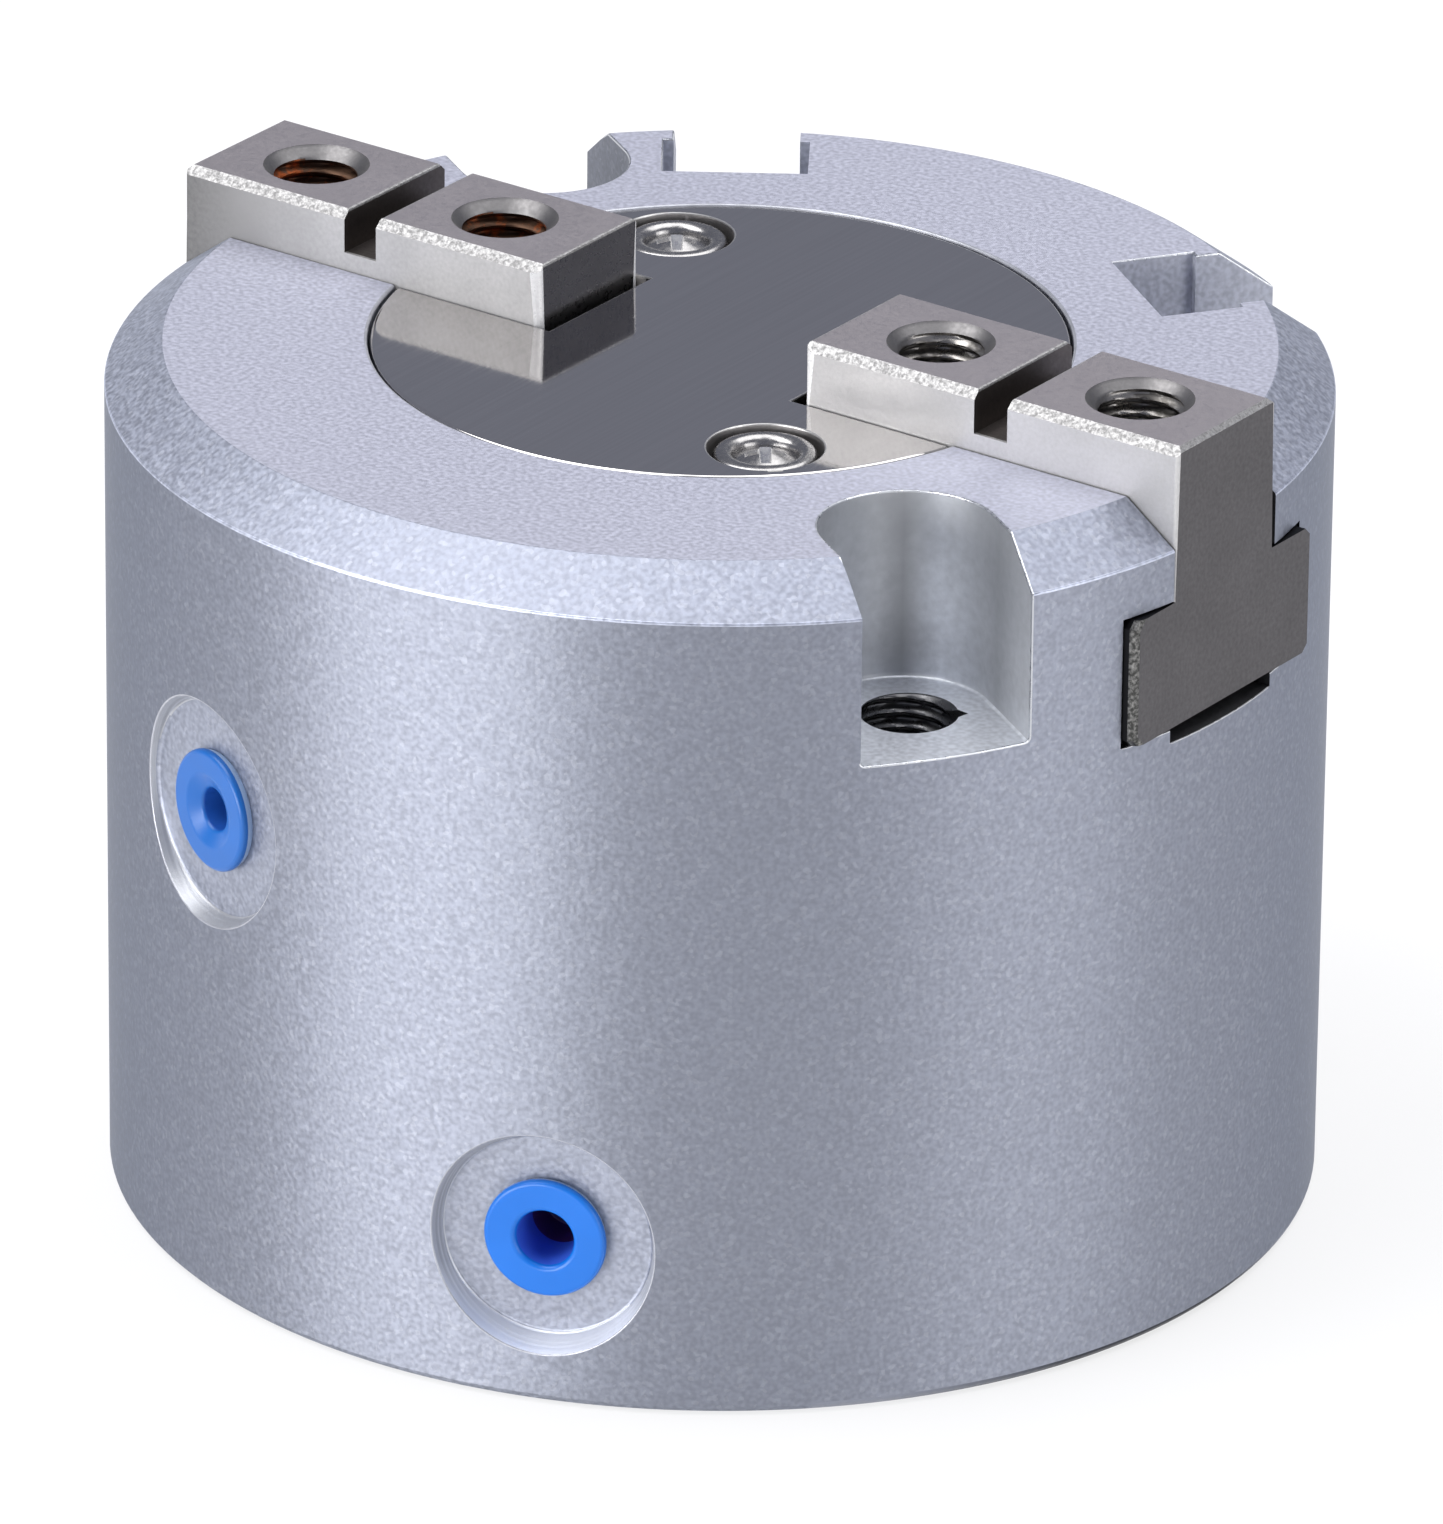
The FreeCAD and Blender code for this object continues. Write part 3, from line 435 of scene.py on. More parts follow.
def bake_normals(piece, outer_normal):
    """Keep the even normals, with exact ones at the corners for which outer_normal has one."""
    graph = bpy.context.evaluated_depsgraph_get()
    data = bpy.data.meshes.new_from_object(piece.evaluated_get(graph))
    piece.modifiers.clear()
    piece.data = data
    normals = [corner.vector.copy() for corner in data.corner_normals]
    for face in data.polygons:
        for corner in face.loop_indices:
            exact = outer_normal(face, data.vertices[data.loops[corner].vertex_index].co / MM)
            if exact:
                normals[corner] = exact
    data.normals_split_custom_set(normals)


def place(piece, body, slot, *nodes, sharp_angle=40.0, outer_normal=None):
    """Scale a drawn piece to metres, shade it, and let it stand for its nodes on their body."""
    data = piece.data
    data.transform(Matrix.Scale(MM, 4))
    data.shade_smooth()
    data.set_sharp_from_angle(angle=math.radians(sharp_angle))
    normals = piece.modifiers.new("even_normals", "WEIGHTED_NORMAL")
    normals.keep_sharp = True
    if outer_normal:
        bake_normals(piece, outer_normal)
    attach(piece, body)
    if nodes:
        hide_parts(*nodes)
    return piece


# Material helpers

class Surface:
    """A node material with one Principled shader, in the object's own metres."""

    def __init__(self, name, colour, metallic, roughness):
        self.material = bpy.data.materials.new(name)
        self.material.use_nodes = True
        self.tree = self.material.node_tree
        self.shader = self.tree.nodes["Principled BSDF"]
        self.shader.inputs["Base Color"].default_value = (*colour, 1.0)
        self.shader.inputs["Metallic"].default_value = metallic
        self.shader.inputs["Roughness"].default_value = roughness
        self.place = self.node("ShaderNodeTexCoord").outputs["Object"]

    def node(self, kind, **inputs):
        made = self.tree.nodes.new(kind)
        for name, value in inputs.items():
            self.feed(made.inputs[name.replace("_", " ")], value)
        return made

    def feed(self, socket, value):
        if isinstance(value, bpy.types.NodeSocket):
            self.tree.links.new(value, socket)
        else:
            socket.default_value = value

    def axis(self, letter):
        """The place along one axis."""
        return self.node("ShaderNodeSeparateXYZ", Vector=self.place).outputs[letter]

    def stretched(self, x, y, z):
        """The place with each axis multiplied, for streaks."""
        return self.node("ShaderNodeMapping", Vector=self.place, Scale=(x, y, z)).outputs["Vector"]

    def noise(self, scale, detail=2.0, vector=None, roughness=0.5):
        made = self.node("ShaderNodeTexNoise", Vector=vector or self.place, Scale=scale,
                         Detail=detail, Roughness=roughness)
        return made.outputs["Fac"]

    def spread(self, value, low, high, start=0.3, end=0.7):
        """A value from start to end mapped to low to high."""
        made = self.node("ShaderNodeMapRange", Value=value)
        for name, amount in (("From Min", start), ("From Max", end), ("To Min", low), ("To Max", high)):
            made.inputs[name].default_value = amount
        return made.outputs["Result"]

    def tint(self, value, dark, light, start=0.3, end=0.7):
        """Two colours by a value."""
        ramp = self.node("ShaderNodeValToRGB", Fac=value)
        ramp.color_ramp.elements[0].position = start
        ramp.color_ramp.elements[0].color = (*dark, 1.0)
        ramp.color_ramp.elements[1].position = end
        ramp.color_ramp.elements[1].color = (*light, 1.0)
        return ramp.outputs["Color"]

    def shades(self, value, colour, low, high):
        """A colour made darker and lighter by a value."""
        return self.tint(value, scaled(colour, low), scaled(colour, high))

    def bands(self, letter, colour, stops):
        """A colour whose strength follows stops of a distance along an axis, in mm, and a factor."""
        start = stops[0][0]
        end = stops[-1][0]
        along = self.spread(self.axis(letter), 0.0, 1.0, start * MM, end * MM)
        made = self.node("ShaderNodeValToRGB", Fac=along)
        elements = made.color_ramp.elements
        positions = [(distance - start) / (end - start) for distance, _ in stops]
        for position in positions[1:-1]:
            elements.new(position)
        for element, position, (_, factor) in zip(elements, positions, stops):
            element.position = position
            element.color = (*scaled(colour, factor), 1.0)
        return made.outputs["Color"]

    def cells(self, scale):
        """A random value for each small grain."""
        made = self.node("ShaderNodeTexVoronoi", Vector=self.place, Scale=scale)
        return self.node("ShaderNodeSeparateColor", Color=made.outputs["Color"]).outputs["Red"]

    def blend(self, share, first, second):
        """A colour on its way to a second, plain one, by a share of that."""
        made = self.node("ShaderNodeMix")
        made.data_type = "RGBA"
        self.feed(made.inputs[0], share)
        self.feed(made.inputs[6], first)
        self.feed(made.inputs[7], (*second, 1.0))
        return made.outputs[2]

    def sum(self, first, second):
        made = self.node("ShaderNodeMath")
        self.feed(made.inputs[0], first)
        self.feed(made.inputs[1], second)
        made.use_clamp = True
        return made.outputs["Value"]

    def colour(self, value):
        self.feed(self.shader.inputs["Base Color"], value)

    def rough(self, value, low, high):
        """Roughness from low to high by a value."""
        self.feed(self.shader.inputs["Roughness"], self.spread(value, low, high))

    def bump(self, height, depth, strength=1.0):
        """Add a relief of that depth in metres over any that is there."""
        socket = self.shader.inputs["Normal"]
        made = self.node("ShaderNodeBump", Height=height, Strength=strength, Distance=depth)
        if socket.is_linked:
            self.tree.links.new(socket.links[0].from_socket, made.inputs["Normal"])
        self.tree.links.new(made.outputs["Normal"], socket)

    def draw_out(self, amount):
        """Stretch the gloss along Z, as fine turning lines round an upright axis do."""
        tangent = self.node("ShaderNodeTangent")
        tangent.direction_type = "RADIAL"
        tangent.axis = "Z"
        self.feed(self.shader.inputs["Tangent"], tangent.outputs["Tangent"])
        self.shader.inputs["Anisotropic"].default_value = amount
        self.shader.inputs["Anisotropic Rotation"].default_value = 0.25


def scaled(colour, factor):
    return tuple(channel * factor for channel in colour)


# Materials

ALUMINIUM = (0.298, 0.315, 0.374)


def blasted_aluminium(name, colour, metallic, roughness, grain, contrast, depth, sheen=0.0):
    """Bead-blasted and clear anodised: a fine even grain with small painted glints, bright grains that
    stand in for highlights. A turned face below it gives a sheen that is drawn out along the axis."""
    surface = Surface(name, colour, metallic, roughness)
    grains = surface.noise(grain, 0.5)
    # Painted highlights: random grains blended towards near-white as glints.
    painted_glints = surface.spread(surface.cells(grain), 0.0, contrast * 0.7, 0.75, 1.0)
    shade = surface.shades(grains, colour, 1.0 - contrast, 1.0 + contrast)
    surface.colour(surface.blend(painted_glints, shade, (0.9, 0.92, 1.0)))
    surface.rough(grains, roughness - 0.05, roughness + 0.05)
    surface.bump(grains, depth)
    if sheen:
        surface.draw_out(sheen)
    surface.shader.inputs["Specular Tint"].default_value = (0.6, 0.62, 0.66, 1.0)
    return surface.material


def machined_aluminium(name, colour, roughness):
    """A milled wall with soft bands along the upright cutter and a faint mottle."""
    surface = Surface(name, colour, 0.55, roughness)
    bands = surface.noise(1.0, 2.0, vector=surface.stretched(900.0, 900.0, 40.0))
    mottle = surface.noise(2200.0, 3.0)
    shade = surface.shades(bands, colour, 0.85, 1.15)
    surface.colour(surface.blend(surface.spread(mottle, 0.0, 0.25), shade, scaled(colour, 0.6)))
    surface.rough(mottle, roughness - 0.05, roughness + 0.07)
    surface.bump(mottle, 0.000003)
    surface.draw_out(0.5)
    return surface.material


# Painted shine and shade on the front seat's wall, left to right, by the distance along X in mm
SEAT_PAINTED_SHINE = ((16.8, 1.2), (17.7, 1.05), (18.6, 0.72), (20.4, 1.9), (22.3, 1.35), (24.5, 0.8), (26.5, 1.0))
# Heights between which the wall is painted darker towards the top
SEAT_DARKER_TOP = (38.5, 44.5)


def seat_wall():
    """The milled wall of the front seat, with soft painted bands of highlight and shade up the wall and a
    rough mottle.
    """
    colour = (0.5, 0.516, 0.545)
    surface = Surface("seat_wall", colour, 0.55, 0.4)
    # Painted highlight and shade in bands across the wall by X, and painted darker towards the top by Z.
    low, high = SEAT_DARKER_TOP
    darker_top = surface.spread(surface.axis("Z"), 0.0, 0.55, low * MM, high * MM)
    shade = surface.blend(darker_top, surface.bands("X", colour, SEAT_PAINTED_SHINE), scaled(colour, 0.45))
    mottle = surface.noise(1900.0, 4.0)
    surface.colour(surface.blend(surface.spread(mottle, 0.0, 0.3), shade, scaled(colour, 0.6)))
    surface.rough(mottle, 0.35, 0.47)
    surface.bump(mottle, 0.000004)
    surface.draw_out(0.5)
    return surface.material


def spotface_wall(port, foot):
    """The narrow wall of a port's seat, with the rings of the cutter that sank in along the port. foot is
    the factor on the colour of its lowest part: painted light above one, painted shade below one."""
    colour = (0.53, 0.54, 0.565)
    surface = Surface(f"{port}_spotface_wall", colour, 0.7, 0.4)
    level = surface.node("ShaderNodeVectorMath", Vector=surface.stretched(1.0, 1.0, 0.0))
    level.operation = "LENGTH"
    rings = surface.noise(4000.0, 2.0, vector=level.outputs["Value"])
    shade = surface.shades(rings, colour, 0.75, 1.2)
    # foot scales the colour of the wall's lowest part: painted light in the lower seat, painted shade in the
    # upper.
    middle = PORTS[port][1]
    low = surface.spread(surface.axis("Z"), 1.0, 0.0, (middle - SPOTFACE_RADIUS) * MM,
                         (middle - SPOTFACE_FOOT) * MM)
    surface.colour(surface.blend(low, shade, scaled(colour, foot)))
    surface.rough(rings, 0.33, 0.48)
    surface.bump(rings, 0.000008)
    return surface.material


# Painted shade on the foot's edge from one end of the shaded part to the other, by distance along Y in mm
FOOT_SHADES = ((-19.0, 1.0), (-10.0, 0.2), (1.0, 0.15), (8.0, 1.0))


def painted_shade_foot():
    """The edge of the foot, where painted shade fades in and out."""
    surface = Surface("painted_shade_foot", ALUMINIUM, 1.0, 0.45)
    surface.colour(surface.bands("Y", ALUMINIUM, FOOT_SHADES))
    grain = surface.noise(4100.0, 0.5)
    surface.rough(grain, 0.4, 0.5)
    return surface.material


def bare_edge():
    """Broken edges of the aluminium, brighter than the faces."""
    surface = Surface("bare_edge", (0.6, 0.615, 0.645), 1.0, 0.35)
    nicks = surface.noise(3000.0, 2.0)
    surface.rough(nicks, 0.2, 0.45)
    surface.bump(nicks, 0.00003)
    return surface.material


def polished_plate():
    """Ground and polished steel, with faint straight lines across the fingers."""
    colour = (0.62, 0.6, 0.585)
    surface = Surface("polished_plate", colour, 1.0, 0.1)
    lines = surface.noise(1.0, 3.0, vector=surface.stretched(5000.0, 90.0, 5000.0))
    surface.colour(surface.shades(lines, colour, 0.965, 1.03))
    surface.rough(lines, 0.05, 0.09)
    surface.bump(lines, 0.000001)
    return surface.material


# The left finger's side is painted darker from here to its outer end, by the distance from the middle in mm
DARKER_FROM = 21.5


def ground_steel(name, colour, roughness, smudge=0.03, metallic=1.0, darker_end=0.0):
    """Nickel-plated ground steel with a fine grain and cloudy smudges. The colour can be painted darker
    towards the outer end of the left finger."""
    surface = Surface(name, colour, metallic, roughness)
    grain = surface.noise(4200.0, 2.0)
    cloud = surface.noise(260.0, 3.0)
    shade = surface.shades(cloud, colour, 1.0 - smudge, 1.0 + smudge)
    # Painted darker towards the left finger's outer end.
    if darker_end:
        share = surface.spread(surface.axis("X"), darker_end, 0.0, -FINGER_OUTER * MM, -DARKER_FROM * MM)
        shade = surface.blend(share, shade, scaled(colour, 0.2))
    surface.colour(surface.blend(surface.spread(grain, 0.0, 0.32), shade, scaled(colour, 0.6)))
    surface.rough(grain, roughness - 0.05, roughness + 0.06)
    surface.bump(grain, 0.000004)
    return surface.material


def speckled_chamfer():
    """Tumbled edges of the fingers, full of bright pits."""
    bright = (0.47, 0.463, 0.458)
    surface = Surface("speckled_chamfer", bright, 1.0, 0.5)
    pits = surface.noise(5200.0, 2.0, roughness=0.7)
    surface.colour(surface.tint(pits, scaled(bright, 0.58), bright, 0.36, 0.62))
    surface.rough(pits, 0.65, 0.45)
    surface.bump(pits, 0.000022)
    return surface.material


def torn_edge():
    """The ragged rim that a cutter left, dark with bright crumbs."""
    dark = (0.05, 0.05, 0.048)
    surface = Surface("torn_edge", dark, 0.8, 0.45)
    crumbs = surface.noise(4600.0, 2.0, roughness=0.6)
    surface.colour(surface.tint(crumbs, dark, (0.3, 0.295, 0.285), 0.4, 0.75))
    surface.bump(crumbs, 0.00002)
    return surface.material


def thread_steel(name, colour, stain, roughness):
    """Thread flanks, stained where they were never plated."""
    surface = Surface(name, colour, 1.0, roughness)
    spots = surface.noise(700.0, 4.0, roughness=0.65)
    surface.colour(surface.tint(spots, colour, stain, 0.5, 0.62))
    surface.rough(spots, roughness, roughness + 0.2)
    return surface.material


def moulded_plastic(name, colour):
    surface = Surface(name, colour, 0.0, 0.34)
    cloud = surface.noise(300.0, 2.0)
    surface.colour(surface.shades(cloud, colour, 0.95, 1.05))
    surface.rough(cloud, 0.31, 0.38)
    return surface.material


def turned_metal(name, colour, roughness):
    """Lathe-turned metal with rings about the part's axis."""
    surface = Surface(name, colour, 1.0, roughness)
    rings = surface.node("ShaderNodeTexWave", Vector=surface.place, Scale=700.0, Distortion=0.8, Detail=1.0)
    rings.wave_type = "RINGS"
    rings.rings_direction = "Z"
    grain = surface.noise(1800.0, 2.0)
    surface.colour(surface.shades(grain, colour, 0.93, 1.05))
    surface.rough(grain, roughness - 0.05, roughness + 0.08)
    surface.bump(rings.outputs["Fac"], 0.000006)
    return surface.material


def soft_rubber(name, colour, roughness):
    surface = Surface(name, colour, 0.0, roughness)
    grain = surface.noise(2400.0, 3.0)
    surface.colour(surface.shades(grain, colour, 0.85, 1.2))
    surface.rough(grain, roughness - 0.08, roughness + 0.1)
    surface.bump(grain, 0.00001)
    return surface.material


BODY_SIDE = blasted_aluminium("blasted_side", ALUMINIUM, 1.0, 0.45, 4100.0, 0.125, 0.00001, sheen=0.7)
BODY_CHAMFER = blasted_aluminium("blasted_chamfer", scaled(ALUMINIUM, 1.1), 0.75, 0.55, 3800.0, 0.18, 0.00002)
BODY_TOP = blasted_aluminium("blasted_top", (0.468, 0.474, 0.553), 0.5, 0.5, 4000.0, 0.115, 0.00001)
MACHINED = machined_aluminium("machined_aluminium", (0.5, 0.516, 0.545), 0.4)
# The way's walls are painted near-black: painted shade of the narrow gaps round the fingers.
SHADED_WAY_WALL = machined_aluminium("way_wall_painted_shade", (0.04, 0.04, 0.043), 0.5)
PAINTED_SHADE_FOOT = painted_shade_foot()
GROOVE_WALL = blasted_aluminium("groove_wall", (0.47, 0.485, 0.55), 0.35, 0.5, 3900.0, 0.13, 0.00001)
RIM_EDGE = machined_aluminium("rim_edge", (0.45, 0.46, 0.5), 0.35)
# The round at the shoulder is painted brighter than the side.
SHOULDER = blasted_aluminium("bright_shoulder_round", scaled(ALUMINIUM, 1.7), 0.8, 0.4, 3800.0, 0.16, 0.00002)
SEAT_WALL = seat_wall()
# The back seat's wall is a darker copy of the blasted aluminium: painted shade.
SHADED_BACK_SEAT_WALL = blasted_aluminium("back_seat_wall_painted_shade", (0.22, 0.23, 0.265), 0.5, 0.5, 3900.0, 0.13, 0.00001)
# The lower seat's wall is painted lighter at its foot as painted light, the upper one's darker as painted
# shade.
SPOTFACE_WALLS = {"upper": spotface_wall("upper", 0.85), "lower": spotface_wall("lower", 1.75)}
SPOTFACE_FLOOR = blasted_aluminium("spotface_floor", scaled(ALUMINIUM, 1.15), 0.8, 0.45, 3900.0, 0.13,
                                   0.00002)
SEAT_FLOOR = blasted_aluminium("seat_floor", (0.73, 0.75, 0.79), 0.7, 0.4, 3400.0, 0.1, 0.00001)
BARE_EDGE = bare_edge()
PLATE_STEEL = polished_plate()
EDGE_STEEL = ground_steel("edge_steel", (0.6, 0.59, 0.58), 0.35)
SCREW_STEEL = ground_steel("screw_steel", (0.38, 0.37, 0.365), 0.26)
# The cross recess is painted near-white: painted highlights standing in for its glints.
RECESS_HIGHLIGHT_STEEL = ground_steel("recess_painted_highlight_steel", (0.85, 0.84, 0.83), 0.3)
FINGER_TOP_STEEL = ground_steel("finger_top_steel", (0.42, 0.39, 0.405), 0.48)
RIGHT_FINGER_STEEL = ground_steel("right_finger_steel", (0.545, 0.537, 0.536), 0.38, 0.07, metallic=0.62)
LEFT_FINGER_STEEL = ground_steel("left_finger_steel", (0.41, 0.404, 0.404), 0.55, 0.09, 0.1, darker_end=0.95)
# The inner corners are painted near-white: wear and painted highlight together.
CORNER_WEAR_AND_HIGHLIGHT = ground_steel("corner_wear_and_painted_highlight", (0.97, 0.965, 0.96), 0.3, metallic=0.15)
SLOT_STEEL = ground_steel("slot_steel", (0.14, 0.124, 0.117), 0.42, 0.1)
FLANGE_STEEL = ground_steel("flange_steel", (0.022, 0.022, 0.024), 0.45)
FINGER_END_STEEL = ground_steel("finger_end_steel", (0.108, 0.103, 0.109), 0.42, 0.08)
INNER_END_STEEL = ground_steel("inner_end_steel", (0.25, 0.243, 0.25), 0.3, 0.1)
SINK_STEEL = ground_steel("sink_steel", (0.42, 0.405, 0.405), 0.42)
JAW_SINK_STEEL = ground_steel("jaw_sink_steel", (0.22, 0.213, 0.213), 0.45)
# The mounting holes' threads are painted dark: painted shade inside the holes.
SHADED_MOUNT_THREADS = ground_steel("mount_threads_painted_shade", (0.14, 0.14, 0.145), 0.3)
FINGER_CHAMFERS = speckled_chamfer()
TORN_EDGE = torn_edge()
BRIGHT_THREAD = thread_steel("bright_thread", (0.3, 0.286, 0.272), (0.1, 0.094, 0.088), 0.22)
RUSTY_THREAD = thread_steel("rusty_thread", (0.11, 0.064, 0.043), (0.42, 0.11, 0.035), 0.4)
# The upper plug's blue is a darker copy of the lower one's: painted shade.
BLUE_PLASTICS = {
    "upper": moulded_plastic("upper_blue_plastic_painted_shade", (0.002, 0.1, 0.38)),
    "lower": moulded_plastic("lower_blue_plastic", (0.002, 0.143, 0.575)),
}
# Each bore's walls get their own copy of the blue: darker in the upper plug as painted shade, lighter in the
# lower as painted light.
BORE_PLASTICS = {
    "upper": moulded_plastic("upper_bore_plastic_painted_shade", (0.012, 0.08, 0.36)),
    "lower": moulded_plastic("lower_bore_plastic_painted_light", (0.045, 0.13, 0.65)),
}
# Pale blue painted on the flange's underside: a painted halo of light under the flange.
PAINTED_HALO_PLASTIC = moulded_plastic("painted_halo_plastic", (0.3, 0.42, 0.62))
# The depth of the bores is painted near-black: painted shade.
DEEP_SHADE_PLASTIC = moulded_plastic("deep_painted_shade_plastic", (0.05, 0.012, 0.1))
TURNED_ALUMINIUM = turned_metal("turned_aluminium", (0.55, 0.56, 0.58), 0.3)
SPRING_STEEL = ground_steel("spring_steel", (0.09, 0.09, 0.1), 0.4)
CAM_STEEL = ground_steel("cam_steel", (0.3, 0.29, 0.28), 0.3)
BLACK_RUBBER = soft_rubber("black_rubber", (0.02, 0.02, 0.022), 0.5)
WEAR_PLASTIC = soft_rubber("wear_plastic", (0.16, 0.1, 0.06), 0.45)
MAGNET_RUBBER = soft_rubber("magnet_rubber", (0.06, 0.055, 0.05), 0.55)


# Pieces

def housing_section():
    """Half section of the turned and bored body, before its cuts."""
    seat = PLATE_RADIUS + PLATE_GAP
    return rounded([
        (PILOT_RADIUS, 0.0, BORE_ROUND),
        (BODY_RADIUS - BOTTOM_CHAMFER, 0.0, FOOT_ROUND),
        (BODY_RADIUS, BOTTOM_CHAMFER, FOOT_ROUND),
        (BODY_RADIUS, SHOULDER_HEIGHT, SHOULDER_ROUND),
        (BODY_RADIUS - TOP_CHAMFER_WIDTH, BODY_HEIGHT, TOP_ROUND),
        (seat, BODY_HEIGHT, SEAT_ROUND),
        (seat, PLATE_BOTTOM),
        (ROD_HOLE_RADIUS, PLATE_BOTTOM),
        (ROD_HOLE_RADIUS, ROD_GROOVE_TOP),
        (ROD_GROOVE_RADIUS, ROD_GROOVE_TOP),
        (ROD_GROOVE_RADIUS, ROD_GROOVE_BOTTOM),
        (ROD_HOLE_RADIUS, ROD_GROOVE_BOTTOM),
        (ROD_HOLE_RADIUS, CHAMBER_TOP),
        (BORE_RADIUS, CHAMBER_TOP),
        (BORE_RADIUS, RING_GROOVE_TOP),
        (RING_GROOVE_RADIUS, RING_GROOVE_TOP),
        (RING_GROOVE_RADIUS, RING_GROOVE_BOTTOM),
        (BORE_RADIUS, RING_GROOVE_BOTTOM),
        (BORE_RADIUS, PILOT_DEPTH, BORE_ROUND),
        (PILOT_RADIUS, PILOT_DEPTH),
    ])


def finger_way():
    """The T-shaped way across the top, with the relief under the flanges."""
    stem = STEM_HALF_WIDTH + SLIDE_GAP
    flange = FLANGE_HALF_WIDTH + SLIDE_GAP
    shoulder = FLANGE_TOP + SLIDE_GAP
    floor = FLANGE_BOTTOM - SLIDE_GAP
    right = [(RELIEF_HALF_WIDTH, floor - RELIEF_DEPTH), (RELIEF_HALF_WIDTH, floor), (flange, floor),
             (flange, shoulder), (stem, shoulder), (stem, BODY_HEIGHT + OVERCUT)]
    left = [(-y, z) for y, z in reversed(right)]
    right[-2:] = [(y + STEM_PLAY, z) for y, z in right[-2:]]
    reach = BODY_RADIUS + OVERCUT
    return prism(right + left, -reach, reach, ALONG_X)


def counterbore(angle):
    """The round-ended seat of a mounting screw, open through the wall, with a rounded corner at its floor."""
    half_turn = [math.pi / 2 + math.pi * step / SEAT_STEPS for step in range(SEAT_STEPS + 1)]
    reach = BODY_RADIUS + OVERCUT
    levels = []
    for step in range(CORNER_STEPS + 1):
        lean = math.pi / 2 * step / CORNER_STEPS
        radius = COUNTERBORE_RADIUS - COUNTERBORE_CORNER * (1.0 - math.sin(lean))
        levels.append((COUNTERBORE_FLOOR + COUNTERBORE_CORNER * (1.0 - math.cos(lean)), radius))
    levels.append((BODY_HEIGHT + OVERCUT, COUNTERBORE_RADIUS))
    outlines = []
    for z, radius in levels:
        arc = [(MOUNT_CIRCLE_RADIUS + radius * math.cos(a), radius * math.sin(a), z) for a in half_turn]
        outlines.append(arc + [(reach, -radius, z), (reach, radius, z)])
    return loft(outlines, Matrix.Rotation(angle, 4, "Z"))


def tapped_hole(x, y, face, bottom, thread, start=0.0, sink=0.0, tip=0.0):
    """The inside of a tapped hole: countersink, thread and drill point in one turned grid. The thread
    runs in below a countersink."""
    minor, major, pitch = thread
    sink_depth = max(sink - minor, 0.0) / JAW_SINK_SLOPE
    top = face + OVERLAP
    rows = round((top - bottom) / pitch * THREAD_ROWS)
    levels = []
    for row in range(rows + 1):
        z = top + (bottom - top) * row / rows
        depth = face - z
        run_in = min(max((depth - sink_depth) / pitch + THREAD_RUN_IN, 0.0), 1.0) if sink else 1.0
        cone = sink - max(depth, 0.0) * JAW_SINK_SLOPE
        level = []
        for index in range(THREAD_STEPS):
            turn = index / THREAD_STEPS
            phase = (depth / pitch + turn - start) % 1.0
            flank = (abs(2.0 * phase - 1.0) - THREAD_FLAT) / (1.0 - 2.0 * THREAD_FLAT)
            radius = max(minor + (major - minor) * min(max(flank, 0.0), 1.0) * run_in, cone)
            angle = 2 * math.pi * turn
            level.append((x + radius * math.cos(angle), y + radius * math.sin(angle), z))
        levels.append(level)
    if tip:
        point = circle_outline(x, y, DRILL_FLAT * minor, THREAD_STEPS)
        levels.append([(px, py, bottom - tip) for px, py in point])
    return loft(levels)


def drill(piece, x, y, radius, low, high, material, count):
    """Cut a plain upright hole."""
    combine(piece, prism(circle_outline(x, y, radius, count), low, high), material)


def switch_groove(angle):
    """The T-groove for a position switch, over the full height."""
    half = [(SWITCH_FLOOR, -SWITCH_HALF_WIDTH), (SWITCH_LIP, -SWITCH_HALF_WIDTH),
            (SWITCH_LIP, -SWITCH_MOUTH_HALF_WIDTH), (BODY_RADIUS + OVERCUT, -SWITCH_MOUTH_HALF_WIDTH)]
    outline = half + [(x, -y) for x, y in reversed(half)]
    return prism(outline, -OVERCUT, BODY_HEIGHT + OVERCUT, Matrix.Rotation(angle, 4, "Z"))


def spotface_radius(outward):
    """The radius of a port's seat at a distance from the body's axis."""
    return SPOTFACE_RADIUS - SPOTFACE_LEAN * (BODY_RADIUS - outward)


def port_cut(port):
    floor = SPOTFACE_FLOORS[port]
    mouth = BODY_RADIUS + OVERCUT
    outline = rounded([
        (0.0, PORT_END), (PORT_RADIUS, PORT_END + PORT_TIP), (PORT_RADIUS, floor - PORT_LEAD),
        (PORT_RADIUS + PORT_LEAD, floor), (spotface_radius(floor), floor, SPOTFACE_CORNER),
        (spotface_radius(mouth), mouth), (0.0, mouth),
    ])
    mesh = revolve(outline, PORT_SEGMENTS, closed=False)
    mesh.transform(port_placing(port))
    return mesh


